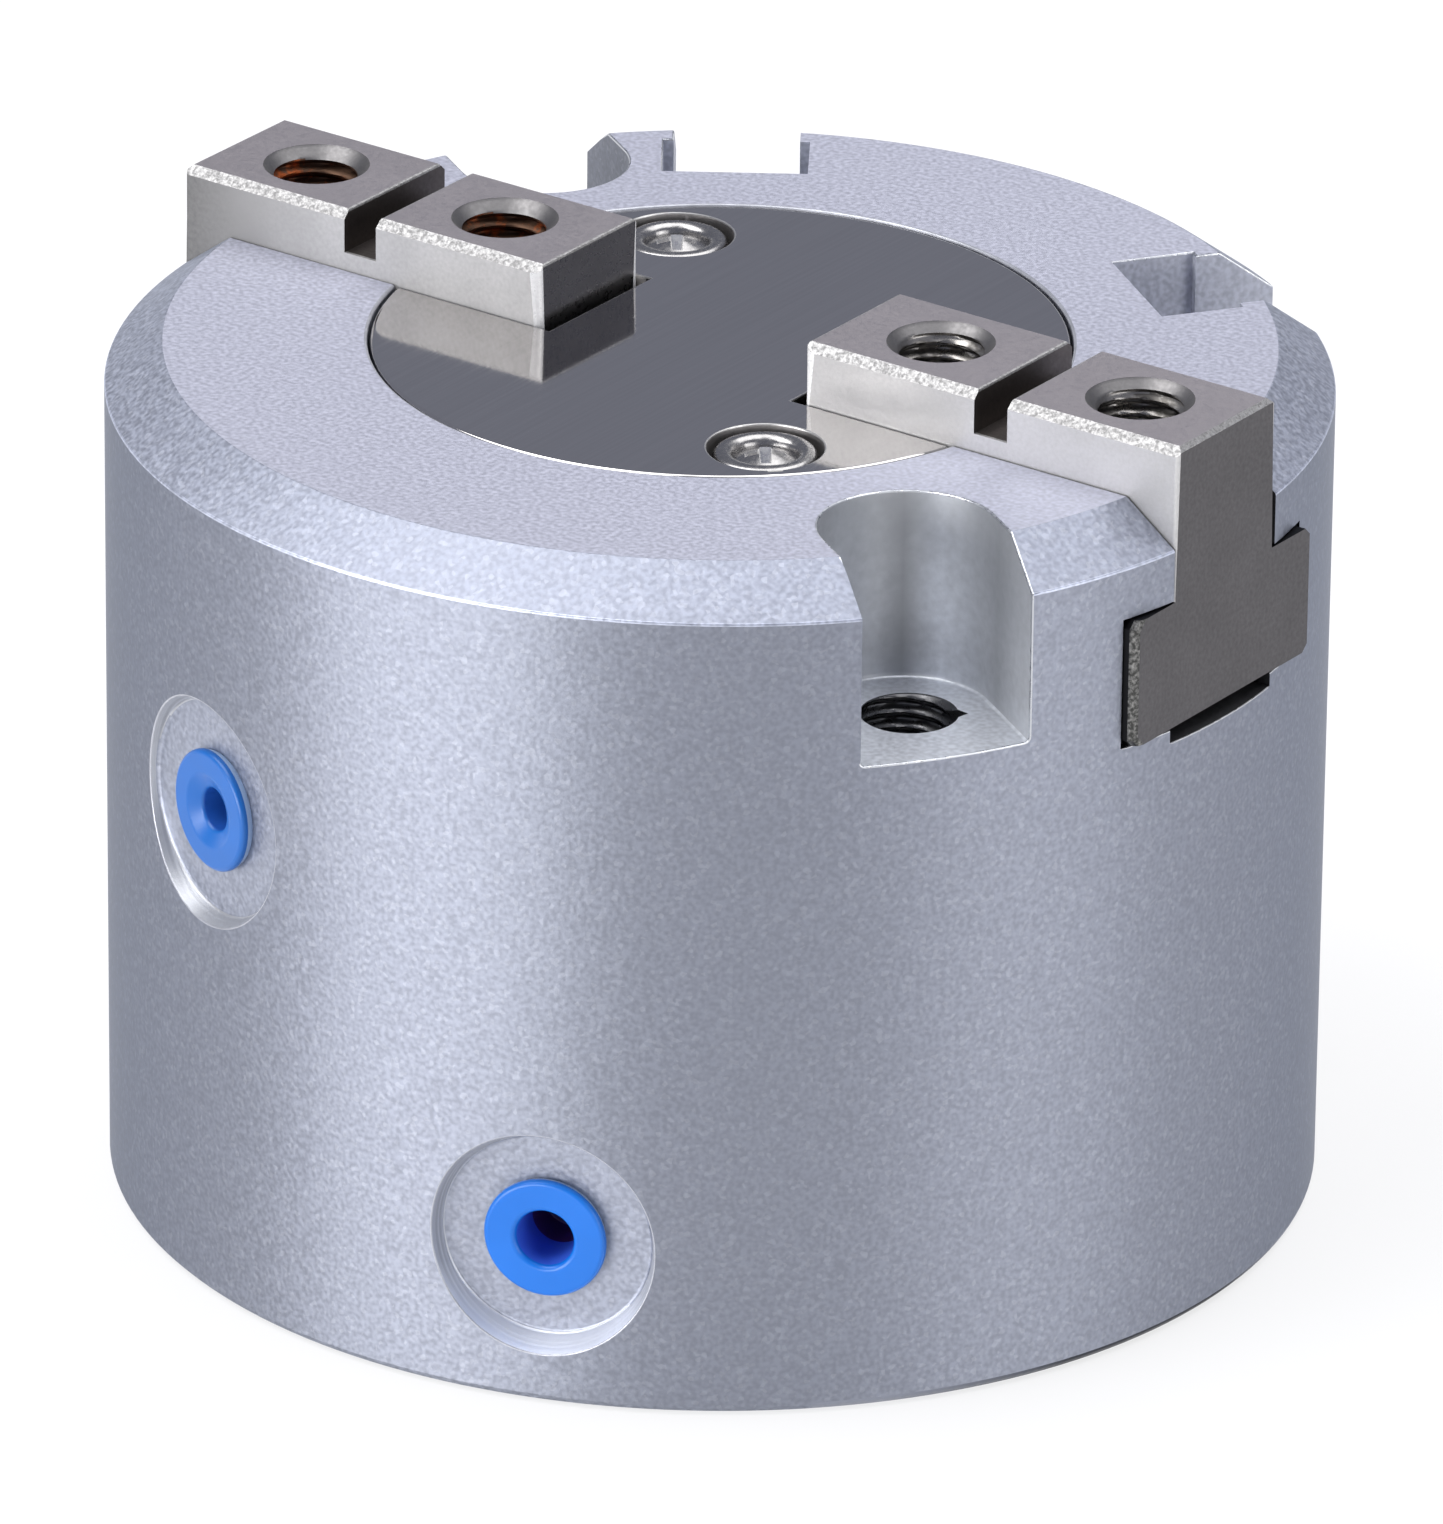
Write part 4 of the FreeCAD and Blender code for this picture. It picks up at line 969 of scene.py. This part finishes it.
def cut_housing(piece):
    half_length, half_width, floor = CAM_ROOM
    room = rectangle(-half_length, -half_width, half_length, half_width)
    combine(piece, prism(room, floor, PLATE_BOTTOM + OVERLAP), MACHINED)
    # The way's faces are painted near-black as painted shade.
    combine(piece, finger_way(), SHADED_WAY_WALL)
    for x, y in SCREW_PLACES:
        drill(piece, x, y, SCREW_TAP_RADIUS, SCREW_TAP_END, PLATE_BOTTOM + OVERLAP, MACHINED, 24)
    for angle, wall in zip(MOUNT_ANGLES, (SEAT_WALL, SHADED_BACK_SEAT_WALL)):
        x = MOUNT_CIRCLE_RADIUS * math.cos(angle)
        y = MOUNT_CIRCLE_RADIUS * math.sin(angle)
        combine(piece, counterbore(angle), wall)
        start = MOUNT_THREAD_TURN + angle / (2 * math.pi)
        thread = tapped_hole(x, y, COUNTERBORE_FLOOR, MOUNT_THREAD_END, MOUNT_THREAD, start)
        # The thread and the nick below are painted dark as painted shade in the hole.
        combine(piece, thread, SHADED_MOUNT_THREADS)
        drill(piece, x, y, MOUNT_HOLE_RADIUS, -OVERCUT, MOUNT_THREAD_END + OVERLAP, MACHINED, 48)
        toward = Matrix.Translation((x, y, 0.0)) @ Matrix.Rotation(angle + MOUNT_NICK_TURN, 4, "Z")
        low, high = (COUNTERBORE_FLOOR + level for level in MOUNT_NICK_LEVELS)
        combine(piece, prism(MOUNT_NICK, low, high, toward), SHADED_MOUNT_THREADS)
    for angle in SWITCH_ANGLES:
        combine(piece, switch_groove(angle), GROOVE_WALL)
    for port in PORTS:
        combine(piece, port_cut(port), SPOTFACE_WALLS[port])
    merge_level(piece, BODY_HEIGHT)


def burred(middle, direction):
    """The rims where a cutter left its burr: round the top of a seat and on the side it ran out at."""
    for angle in MOUNT_ANGLES:
        spot = Matrix.Rotation(-angle, 3, "Z") @ middle
        reach = COUNTERBORE_RADIUS + 2 * NEAR
        in_seat = spot.x > MOUNT_CIRCLE_RADIUS - reach and abs(spot.y) < reach
        if in_seat and spot.z > COUNTERBORE_FLOOR - 2 * NEAR:
            in_hole = math.hypot(spot.x - MOUNT_CIRCLE_RADIUS, spot.y) < MOUNT_THREAD[1] + HOLE_RIM
            at_foot = spot.z < COUNTERBORE_FLOOR + HOLE_RIM
            return not in_hole and (spot.y > 0.0 or at_foot or spot.z > BODY_HEIGHT - NEAR)
    for angle in SWITCH_ANGLES:
        spot = Matrix.Rotation(-angle, 3, "Z") @ middle
        if spot.x > SWITCH_FLOOR - 2 * NEAR and abs(spot.y) < SWITCH_HALF_WIDTH + 2 * NEAR:
            return spot.y > 0.0 and spot.z > SHOULDER_HEIGHT
    return False


def port_rim(middle, direction):
    """The rims of the ports' seats."""
    for port in PORTS:
        spot = port_placing(port).inverted() @ middle
        if abs(spot.xy.length - spotface_radius(spot.z)) < 2 * NEAR:
            return True
    return False


def way_sill(middle, direction):
    """The low edges of the way where it runs out at the right."""
    in_way = abs(middle.y) < FLANGE_HALF_WIDTH + SLIDE_GAP + NEAR and middle.z < FLANGE_BOTTOM
    on_side = abs(middle.xy.length - BODY_RADIUS) < NEAR and middle.x > 0.0
    return on_side and in_way and middle.z > FLANGE_BOTTOM - SILL_DEPTH and abs(direction.z) < 0.5


def paint_housing(piece):
    def away(face):
        return math.hypot(face.center.x, face.center.y)

    def on_top(face):
        return face.normal.z > LEVEL and face.center.z > BODY_HEIGHT - NEAR

    def on_chamfer(face):
        leaning = LEANING < face.normal.z < LEVEL
        outer = away(face) > BODY_RADIUS - TOP_CHAMFER_WIDTH - 4 * NEAR
        return leaning and outer and face.center.z > FLANGE_TOP

    def on_seat_rim(face):
        inner = away(face) < PLATE_RADIUS + PLATE_GAP + SEAT_ROUND + NEAR
        return inner and face.center.z > BODY_HEIGHT - SEAT_ROUND - NEAR and face.normal.z < LEVEL

    def on_shoulder(face):
        leaning = ROUND_LEAN < face.normal.z < CONE_UP - ROUND_LEAN
        return leaning and abs(face.center.z - SHOULDER_HEIGHT) < ROUND_REACH

    def on_seat_floor(face):
        low = abs(face.center.z - COUNTERBORE_FLOOR) < COUNTERBORE_CORNER + NEAR
        return low and face.normal.z > 0.8

    def on_spotface(face):
        return any(abs(face.normal.dot(port_placing(port).col[2].xyz)) > ALIGNED for port in PORTS)

    def on_foot(face):
        bearing = math.degrees(math.atan2(face.center.y, face.center.x))
        low = face.center.z < BOTTOM_CHAMFER + ROUND_REACH and away(face) > BODY_RADIUS - BOTTOM_CHAMFER
        return low and FOOT_SHADE_BEARINGS[0] < bearing < FOOT_SHADE_BEARINGS[1]

    paint(piece, BODY_TOP, on_top, BODY_SIDE)
    paint(piece, BODY_CHAMFER, on_chamfer, BODY_SIDE)
    paint(piece, RIM_EDGE, on_seat_rim, BODY_SIDE)
    paint(piece, SHOULDER, on_shoulder, BODY_SIDE, BODY_CHAMFER)
    paint(piece, SEAT_FLOOR, on_seat_floor, SEAT_WALL, SHADED_BACK_SEAT_WALL)
    paint(piece, SPOTFACE_FLOOR, on_spotface, *SPOTFACE_WALLS.values())
    # Painted shade on part of the foot's edge.
    paint(piece, PAINTED_SHADE_FOOT, on_foot, BODY_SIDE)


def seat_normal(spot):
    """The exact normal on the wall of a port's seat."""
    for port in PORTS:
        placing = port_placing(port)
        local = placing.inverted() @ spot
        radius = local.xy.length
        if abs(radius - spotface_radius(local.z)) < ON_SURFACE and local.z > SPOTFACE_FLOORS[port]:
            normal = Vector((-local.x / radius, -local.y / radius, SPOTFACE_LEAN)).normalized()
            return placing.to_3x3() @ normal
    return None


def turned_normal(spot):
    """The exact normal on the side, the chamfer or the top of the body."""
    radius = math.hypot(spot.x, spot.y)
    out = Vector((spot.x / radius, spot.y / radius, 0.0))
    if abs(radius - BODY_RADIUS) < ON_SURFACE and BOTTOM_CHAMFER < spot.z < SHOULDER_HEIGHT:
        return out
    off_cone = (radius - BODY_RADIUS) * CONE_OUT + (spot.z - SHOULDER_HEIGHT) * CONE_UP
    if abs(off_cone) < ON_SURFACE and spot.z > SHOULDER_HEIGHT:
        return out * CONE_OUT + Vector((0.0, 0.0, CONE_UP))
    if abs(spot.z - BODY_HEIGHT) < ON_SURFACE:
        return Vector((0.0, 0.0, 1.0))
    return None


def make_housing():
    turned = revolve(housing_section(), HOUSING_SEGMENTS, seam=HOUSING_SEAM)
    piece = to_object("housing_shell", turned, BODY_SIDE)
    cut_housing(piece)
    soften(piece, BURR_WIDTH, burred, BARE_EDGE)
    soften(piece, RIM_WIDTH, way_sill, BARE_EDGE)
    soften(piece, RIM_WIDTH, port_rim, RIM_EDGE)
    paint_housing(piece)
    spotfaces = [slot_of(piece, material) for material in SPOTFACE_WALLS.values()]
    outer = [slot_of(piece, material) for material in (BODY_SIDE, BODY_TOP, BODY_CHAMFER, BARE_EDGE)]

    def exact_normal(face, spot):
        if face.material_index in spotfaces:
            return seat_normal(spot)
        return turned_normal(spot) if face.material_index in outer else None

    return place(piece, "housing", "anodised_aluminium", "housing", outer_normal=exact_normal)


def make_end_plate():
    outline = rounded([(0.0, PLATE_BOTTOM), (PLATE_RADIUS, PLATE_BOTTOM),
                       (PLATE_RADIUS, PLATE_TOP, PLATE_EDGE), (0.0, PLATE_TOP)])
    piece = to_object("end_plate_disc", revolve(outline, HOUSING_SEGMENTS, closed=False), PLATE_STEEL)
    reach = PLATE_RADIUS + OVERCUT
    for left, right in ((PLATE_SLOT_END, reach), (-reach, -PLATE_SLOT_END)):
        slot = rectangle(left, -PLATE_SLOT_HALF_WIDTH, right, PLATE_SLOT_HALF_WIDTH)
        combine(piece, prism(slot, PLATE_BOTTOM - OVERCUT, PLATE_TOP + OVERCUT), PLATE_STEEL)
    for x, y in SCREW_PLACES:
        drill(piece, x, y, SCREW_SINK_RADIUS, SCREW_SEAT, PLATE_TOP + OVERCUT, SINK_STEEL, 64)
        drill(piece, x, y, SCREW_CLEAR_RADIUS, PLATE_BOTTOM - OVERCUT, PLATE_TOP, PLATE_STEEL, 32)
    soften(piece, PLATE_RIM, lambda middle, direction: middle.z > PLATE_TOP - NEAR, EDGE_STEEL)
    return place(piece, "housing", "plate_steel", "end_plate")


def cross_recess():
    """Two tapered wings of a cross recess, about the origin, open at z = 0."""
    wings = []
    for turn in (0.0, math.pi / 2):
        levels = []
        for z, half_length, half_width in CROSS_LEVELS:
            outline = rectangle(-half_length, -half_width, half_length, half_width)
            levels.append([(x, y, z) for x, y in outline])
        wings.append(loft(levels, Matrix.Rotation(CROSS_TURN + turn, 4, "Z")))
    return wings


def make_screws():
    for label, (x, y) in zip(("front_plate_screw", "back_plate_screw"), SCREW_PLACES):
        head = rounded([
            (SCREW_SHANK_RADIUS, SCREW_END), (SCREW_SHANK_RADIUS, SCREW_SEAT),
            (SCREW_HEAD_RADIUS, SCREW_SEAT),
            (SCREW_HEAD_RADIUS, SCREW_HEAD_TOP - SCREW_DOME, SCREW_HEAD_ROUND),
            (SCREW_DOME_RADIUS, SCREW_HEAD_TOP, SCREW_DOME_ROUND),
        ])
        outline = [(0.0, SCREW_END), *head, (0.0, SCREW_HEAD_TOP)]
        piece = to_object(label, revolve(outline, SCREW_SEGMENTS, closed=False), SCREW_STEEL)
        # The recess faces get the near-white painted highlight.
        for wing in cross_recess():
            wing.transform(Matrix.Translation((0.0, 0.0, SCREW_HEAD_TOP)))
            combine(piece, wing, RECESS_HIGHLIGHT_STEEL)
        soften(piece, RIM_WIDTH, lambda middle, direction: middle.z > SCREW_HEAD_TOP - NEAR)
        piece.data.transform(Matrix.Translation((x, y, 0.0)))
        place(piece, "housing", "screw_steel", "end_plate_screws")


def finger_bar():
    """The T-section of a finger, from the cam's flank to its outer end."""
    inset = FLANGE_HALF_WIDTH - FLANGE_CHAMFER
    right = [(inset, FLANGE_BOTTOM), (FLANGE_HALF_WIDTH, FLANGE_BOTTOM + FLANGE_CHAMFER),
             (FLANGE_HALF_WIDTH, FLANGE_TOP - FLANGE_CHAMFER), (inset, FLANGE_TOP),
             (STEM_HALF_WIDTH, FLANGE_TOP), (STEM_HALF_WIDTH, FINGER_TOP)]
    left = [(-y, z) for y, z in reversed(right)]
    return prism(right + left, CAM_TOP_HALF_LENGTH + FLANK_GAP, FINGER_OUTER, ALONG_X)


def finger_hook():
    """The T-shaped hook that runs in the cam's inclined slot, leaning with the 45 degree flank."""
    flank = CAM_TOP_HALF_LENGTH + CAM_TOP - FLANGE_BOTTOM
    root = flank + 2 * FLANK_GAP
    neck = flank - HOOK_NECK_DEPTH - HOOK_GAP
    head = flank - HOOK_NECK_DEPTH - HOOK_HEAD_DEPTH + HOOK_GAP
    neck_half = HOOK_NECK_HALF_WIDTH - HOOK_GAP
    head_half = HOOK_HEAD_HALF_WIDTH - HOOK_GAP
    outline = [(root, -neck_half), (root, neck_half), (neck, neck_half), (neck, head_half),
               (head, head_half), (head, -head_half), (neck, -head_half), (neck, -neck_half)]
    mesh = prism(outline, FLANGE_BOTTOM, CAM_TOP)
    lean = Matrix.Identity(4)
    lean[0][2] = -1.0
    lean[0][3] = FLANGE_BOTTOM
    mesh.transform(lean)
    return mesh


def cut_finger(piece, steel):
    """The flank along the cam, the step under the end plate, the hook and the key slot."""
    inner = CAM_TOP_HALF_LENGTH + FLANK_GAP
    foot = FLANGE_BOTTOM - OVERCUT
    slope = [(inner - OVERCUT, CAM_TOP + OVERCUT), (inner - OVERCUT, foot),
             (inner + CAM_TOP - FLANGE_BOTTOM + OVERCUT, foot)]
    step = rectangle(inner - OVERCUT, UNDER_PLATE, FINGER_INNER, FINGER_TOP + OVERCUT)
    key = rectangle(KEY_SLOT[0], FINGER_TOP - KEY_SLOT_DEPTH, KEY_SLOT[1], FINGER_TOP + OVERCUT)
    combine(piece, prism(slope, -FINGER_CUT, FINGER_CUT, ALONG_Y), steel)
    combine(piece, prism(step, -FINGER_CUT, FINGER_CUT, ALONG_Y), steel)
    combine(piece, finger_hook(), steel, "UNION")
    combine(piece, prism(key, -FINGER_CUT, FINGER_CUT, ALONG_Y), SLOT_STEEL)


def soften_finger(piece, steel):
    top = (FINGER_TOP - NEAR, math.inf)
    outer = (FINGER_OUTER - NEAR, math.inf)
    within = (-math.inf, FINGER_OUTER - 2 * FINGER_END_CHAMFER)
    floor = FINGER_TOP - KEY_SLOT_DEPTH
    inner_end = edges_along("z", x=(-math.inf, FINGER_INNER + NEAR), z=(UNDER_PLATE, math.inf))
    flange_rim = edges_along("z", RISING, outer, y=(-math.inf, 0.0), z=(-math.inf, FLANGE_TOP))
    slot_sill = edges_along("x", x=KEY_SLOT, z=(floor - NEAR, floor + NEAR))

    def inner_corner(middle, direction):
        return inner_end(middle, direction) and abs(middle.y) > STEM_HALF_WIDTH - 2 * NEAR

    soften(piece, FINGER_CHAMFER, edges_along("x", z=top), FINGER_CHAMFERS, segments=1)
    soften(piece, FINGER_END_CHAMFER, edges_along("y", x=outer, z=top), FINGER_CHAMFERS, segments=1)
    soften(piece, FINGER_EDGE_BREAK, edges_along("y", x=within, z=top), FINGER_CHAMFERS)
    # The inner corners' rounds get the near-white wear and painted highlight.
    soften(piece, FINGER_CORNER_ROUND, inner_corner, CORNER_WEAR_AND_HIGHLIGHT, segments=4)
    soften(piece, FINGER_OUTER_ROUND, edges_along("z", x=outer, z=(FLANGE_TOP, math.inf)), steel, segments=3)
    soften(piece, FLANGE_BURR, flange_rim, TORN_EDGE)
    soften(piece, SILL_BURR, slot_sill, FINGER_CHAMFERS)


def make_finger(side, steel, thread):
    piece = to_object(f"{side}_finger_slider", finger_bar(), steel)
    cut_finger(piece, steel)

    def on_sink(face):
        foot = FINGER_TOP - (JAW_SINK_RADIUS - JAW_THREAD[0]) / JAW_SINK_SLOPE
        return face.center.z > foot - NEAR and face.normal.z > 0.4

    def on_flange(face):
        return abs(face.center.y) > STEM_HALF_WIDTH + 2 * NEAR and face.center.z < FLANGE_TOP + NEAR

    def on_top(face):
        return face.normal.z > ALIGNED and face.center.z > FINGER_TOP - 2 * NEAR

    def on_outer_end(face):
        return face.normal.x > ALIGNED and face.center.x > FINGER_OUTER - 2 * NEAR

    def on_inner_end(face):
        return face.normal.x < -ALIGNED and abs(face.center.x - FINGER_INNER) < 2 * NEAR

    paint(piece, FLANGE_STEEL, on_flange)
    paint(piece, FINGER_TOP_STEEL, on_top)
    paint(piece, FINGER_END_STEEL, on_outer_end)
    paint(piece, INNER_END_STEEL, on_inner_end)
    soften_finger(piece, steel)
    for x in JAW_HOLES:
        hole = tapped_hole(x, 0.0, FINGER_TOP, FINGER_TOP - JAW_HOLE_DEPTH, JAW_THREAD,
                           sink=JAW_SINK_RADIUS, tip=JAW_HOLE_TIP)
        combine(piece, hole, thread)
    paint(piece, JAW_SINK_STEEL, on_sink, thread)
    if side == "left":
        piece.data.transform(Matrix.Rotation(math.pi, 4, "Z"))
    return place(piece, f"{side}_finger", "finger_steel", f"{side}_finger", sharp_angle=32.0)


def make_plug(port):
    """A hollow dust plug with a flange that thins to a round edge."""
    seat = SPOTFACE_FLOORS[port]
    face = seat + PLUG_FACES[port]
    bore = PLUG_BORES[port]
    low_round, high_round = PLUG_EDGE_ROUNDS
    corners = [
        (PLUG_RADIUS - PLUG_LEAD_WIDTH, PLUG_END, PLUG_LEAD_ROUND),
        (PLUG_RADIUS, PLUG_END + PLUG_LEAD_LENGTH, PLUG_LEAD_ROUND), (PLUG_RADIUS, seat),
        (PLUG_FLANGE_FOOT, seat), (PLUG_FLANGE_RADIUS, face - PLUG_FLANGE_EDGE, low_round),
        (PLUG_FLANGE_RADIUS, face, high_round),
    ]
    corners += [(radius, face - depth, turn) for radius, depth, turn in bore]
    corners += [(bore[-1][0] - PLUG_DRAFT, PLUG_FLOOR, PLUG_FLOOR_ROUND), (0.0, PLUG_FLOOR), (0.0, PLUG_END)]
    outline = rounded(corners, steps=6)
    section = outline[-1:] + outline[:-1]
    mesh = revolve(section, PORT_SEGMENTS, closed=False)
    mesh.transform(port_placing(port))
    piece = to_object(f"{port}_dust_plug", mesh, BLUE_PLASTICS[port])
    inside = port_placing(port).inverted()

    def in_bore(polygon, depth):
        spot = inside @ polygon.center
        return spot.xy.length < bore[0][0] and PLUG_FLOOR - 4 * NEAR < spot.z < face - depth

    def on_skirt(polygon):
        spot = inside @ polygon.center
        return spot.xy.length > PLUG_FLANGE_FOOT - NEAR and spot.z < face - PLUG_FLANGE_EDGE

    # The flange's underside is painted pale blue as a painted halo of light.
    paint(piece, PAINTED_HALO_PLASTIC, on_skirt)
    # The bore's walls get their painted light and shade.
    paint(piece, BORE_PLASTICS[port], lambda polygon: in_bore(polygon, PLUG_BORE_DEPTHS[port]))
    # The depth of the bore is painted near-black as painted shade.
    paint(piece, DEEP_SHADE_PLASTIC, lambda polygon: in_bore(polygon, PLUG_DARK_DEPTH))
    return place(piece, "housing", "blue_plastic", f"{port}_port_plug")


def dress_solids():
    """Finishes of the solids that stay as they are."""
    finishes = {
        "cam": CAM_STEEL, "cam_bolt": SCREW_STEEL, "cam_bolt_washer": SPRING_STEEL,
        "piston": TURNED_ALUMINIUM, "bottom_cap": TURNED_ALUMINIUM, "retaining_ring": SPRING_STEEL,
        "piston_seal": BLACK_RUBBER, "lower_bumper": BLACK_RUBBER, "upper_bumper": BLACK_RUBBER,
        "rod_seal": BLACK_RUBBER, "cap_o_ring": BLACK_RUBBER, "wear_ring": WEAR_PLASTIC,
        "magnet_strip": MAGNET_RUBBER,
    }
    for node, material in finishes.items():
        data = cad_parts[node].data
        data.materials.clear()
        data.materials.append(material)


# Stage, light and camera

FLOOR_RADIUS = 3.0
# The floor lies a hair under the foot of the body
FLOOR_GAP = 0.00002
RIM_RADIUS = 1.2
RIM_STEPS = 12
RIM_TURN = math.radians(60.0)
# Share of plain white in what the camera and reflections see of the floor
FLOOR_GLOW = 0.75
# Softboxes as (azimuth, elevation, distance, width, height, brightness), in degrees and metres
SOFTBOXES = {
    "left_softbox": (-106.0, 6.0, 1.2, 1.05, 0.42, 9.8),
    "right_softbox": (3.0, 14.0, 1.2, 0.85, 0.6, 2.7),
    "top_softbox": (78.0, 69.0, 1.4, 1.3, 1.3, 2.85),
    "high_softbox": (-138.0, 60.0, 1.4, 1.0, 1.0, 4.6),
}
LIGHT_TARGET = Vector((0.0, 0.0, 0.02))
WORLD_COLOUR = (0.221, 0.234, 0.29, 1.0)


def make_floor():
    """A pale round floor whose rim curves up all round."""
    section = [(0.0, 0.0), (FLOOR_RADIUS, 0.0)]
    for step in range(1, RIM_STEPS + 1):
        angle = RIM_TURN * step / RIM_STEPS
        section.append((FLOOR_RADIUS + RIM_RADIUS * math.sin(angle), RIM_RADIUS * (1.0 - math.cos(angle))))
    floor = to_object("floor", revolve(section, 96, closed=False))
    floor.data.shade_smooth()
    floor.location.z = -FLOOR_GAP
    surface = Surface("pale_floor", (0.92, 0.92, 0.93), 0.0, 0.9)
    cloud = surface.noise(3.0, 2.0)
    surface.colour(surface.tint(cloud, (0.91, 0.91, 0.92), (0.93, 0.93, 0.94)))
    surface.shader.inputs["Specular IOR Level"].default_value = 0.0
    rays = surface.node("ShaderNodeLightPath").outputs
    seen = surface.sum(rays["Is Camera Ray"], rays["Is Glossy Ray"])
    seen = surface.sum(seen, rays["Is Transmission Ray"])
    glow = surface.node("ShaderNodeEmission", Strength=1.0)
    both = surface.node("ShaderNodeMixShader", Fac=surface.spread(seen, 0.0, FLOOR_GLOW, 0.0, 1.0))
    surface.tree.links.new(surface.shader.outputs["BSDF"], both.inputs[1])
    surface.tree.links.new(glow.outputs["Emission"], both.inputs[2])
    surface.tree.links.new(both.outputs["Shader"], surface.tree.nodes["Material Output"].inputs["Surface"])
    floor.data.materials.append(surface.material)


def softbox(name, azimuth, elevation, distance, width, height, brightness):
    """A rectangular light that faces the object. brightness is its own luminance."""
    lamp = bpy.data.lights.new(name, "AREA")
    lamp.shape = "RECTANGLE"
    lamp.size = width
    lamp.size_y = height
    lamp.energy = brightness * math.pi * width * height
    holder = bpy.data.objects.new(name, lamp)
    a = math.radians(azimuth)
    e = math.radians(elevation)
    toward = Vector((math.cos(a) * math.cos(e), math.sin(a) * math.cos(e), math.sin(e)))
    holder.location = LIGHT_TARGET + toward * distance
    holder.rotation_euler = toward.to_track_quat("Z", "Y").to_euler()
    bpy.context.scene.collection.objects.link(holder)


def make_light():
    for name, setting in SOFTBOXES.items():
        softbox(name, *setting)
    world = bpy.data.worlds.new("studio")
    bpy.context.scene.world = world
    world.use_nodes = True
    background = world.node_tree.nodes["Background"]
    background.inputs["Color"].default_value = WORLD_COLOUR
    background.inputs["Strength"].default_value = 1.0


CAMERA_PLACE = (0.41161, -0.57468, 0.33989)
CAMERA_DIRECTION = (-0.53279, 0.73983, -0.41086)
CAMERA_ROLL = 0.0093
PHOTO_LONG_SIDE = 1524.0
FOCAL_PIXELS = 15222.44
SENSOR = 36.0
CAMERA_SHIFT = (0.0271, 0.0029)
CAMERA_CLIP = (0.01, 20.0)


def make_camera():
    data = bpy.data.cameras.new("camera")
    data.sensor_width = SENSOR
    data.lens = SENSOR * FOCAL_PIXELS / PHOTO_LONG_SIDE
    data.shift_x, data.shift_y = CAMERA_SHIFT
    data.clip_start, data.clip_end = CAMERA_CLIP
    camera = bpy.data.objects.new("camera", data)
    aim = Vector(CAMERA_DIRECTION).to_track_quat("-Z", "Y").to_matrix().to_4x4()
    camera.matrix_world = Matrix.Translation(CAMERA_PLACE) @ aim @ Matrix.Rotation(CAMERA_ROLL, 4, "Z")
    bpy.context.scene.collection.objects.link(camera)
    bpy.context.scene.camera = camera


make_housing()
make_end_plate()
make_screws()
make_finger("right", RIGHT_FINGER_STEEL, BRIGHT_THREAD)
make_finger("left", LEFT_FINGER_STEEL, RUSTY_THREAD)
for port_name in PORTS:
    make_plug(port_name)
dress_solids()
make_floor()
make_light()
make_camera()
bpy.context.scene.view_settings.view_transform = "Standard"
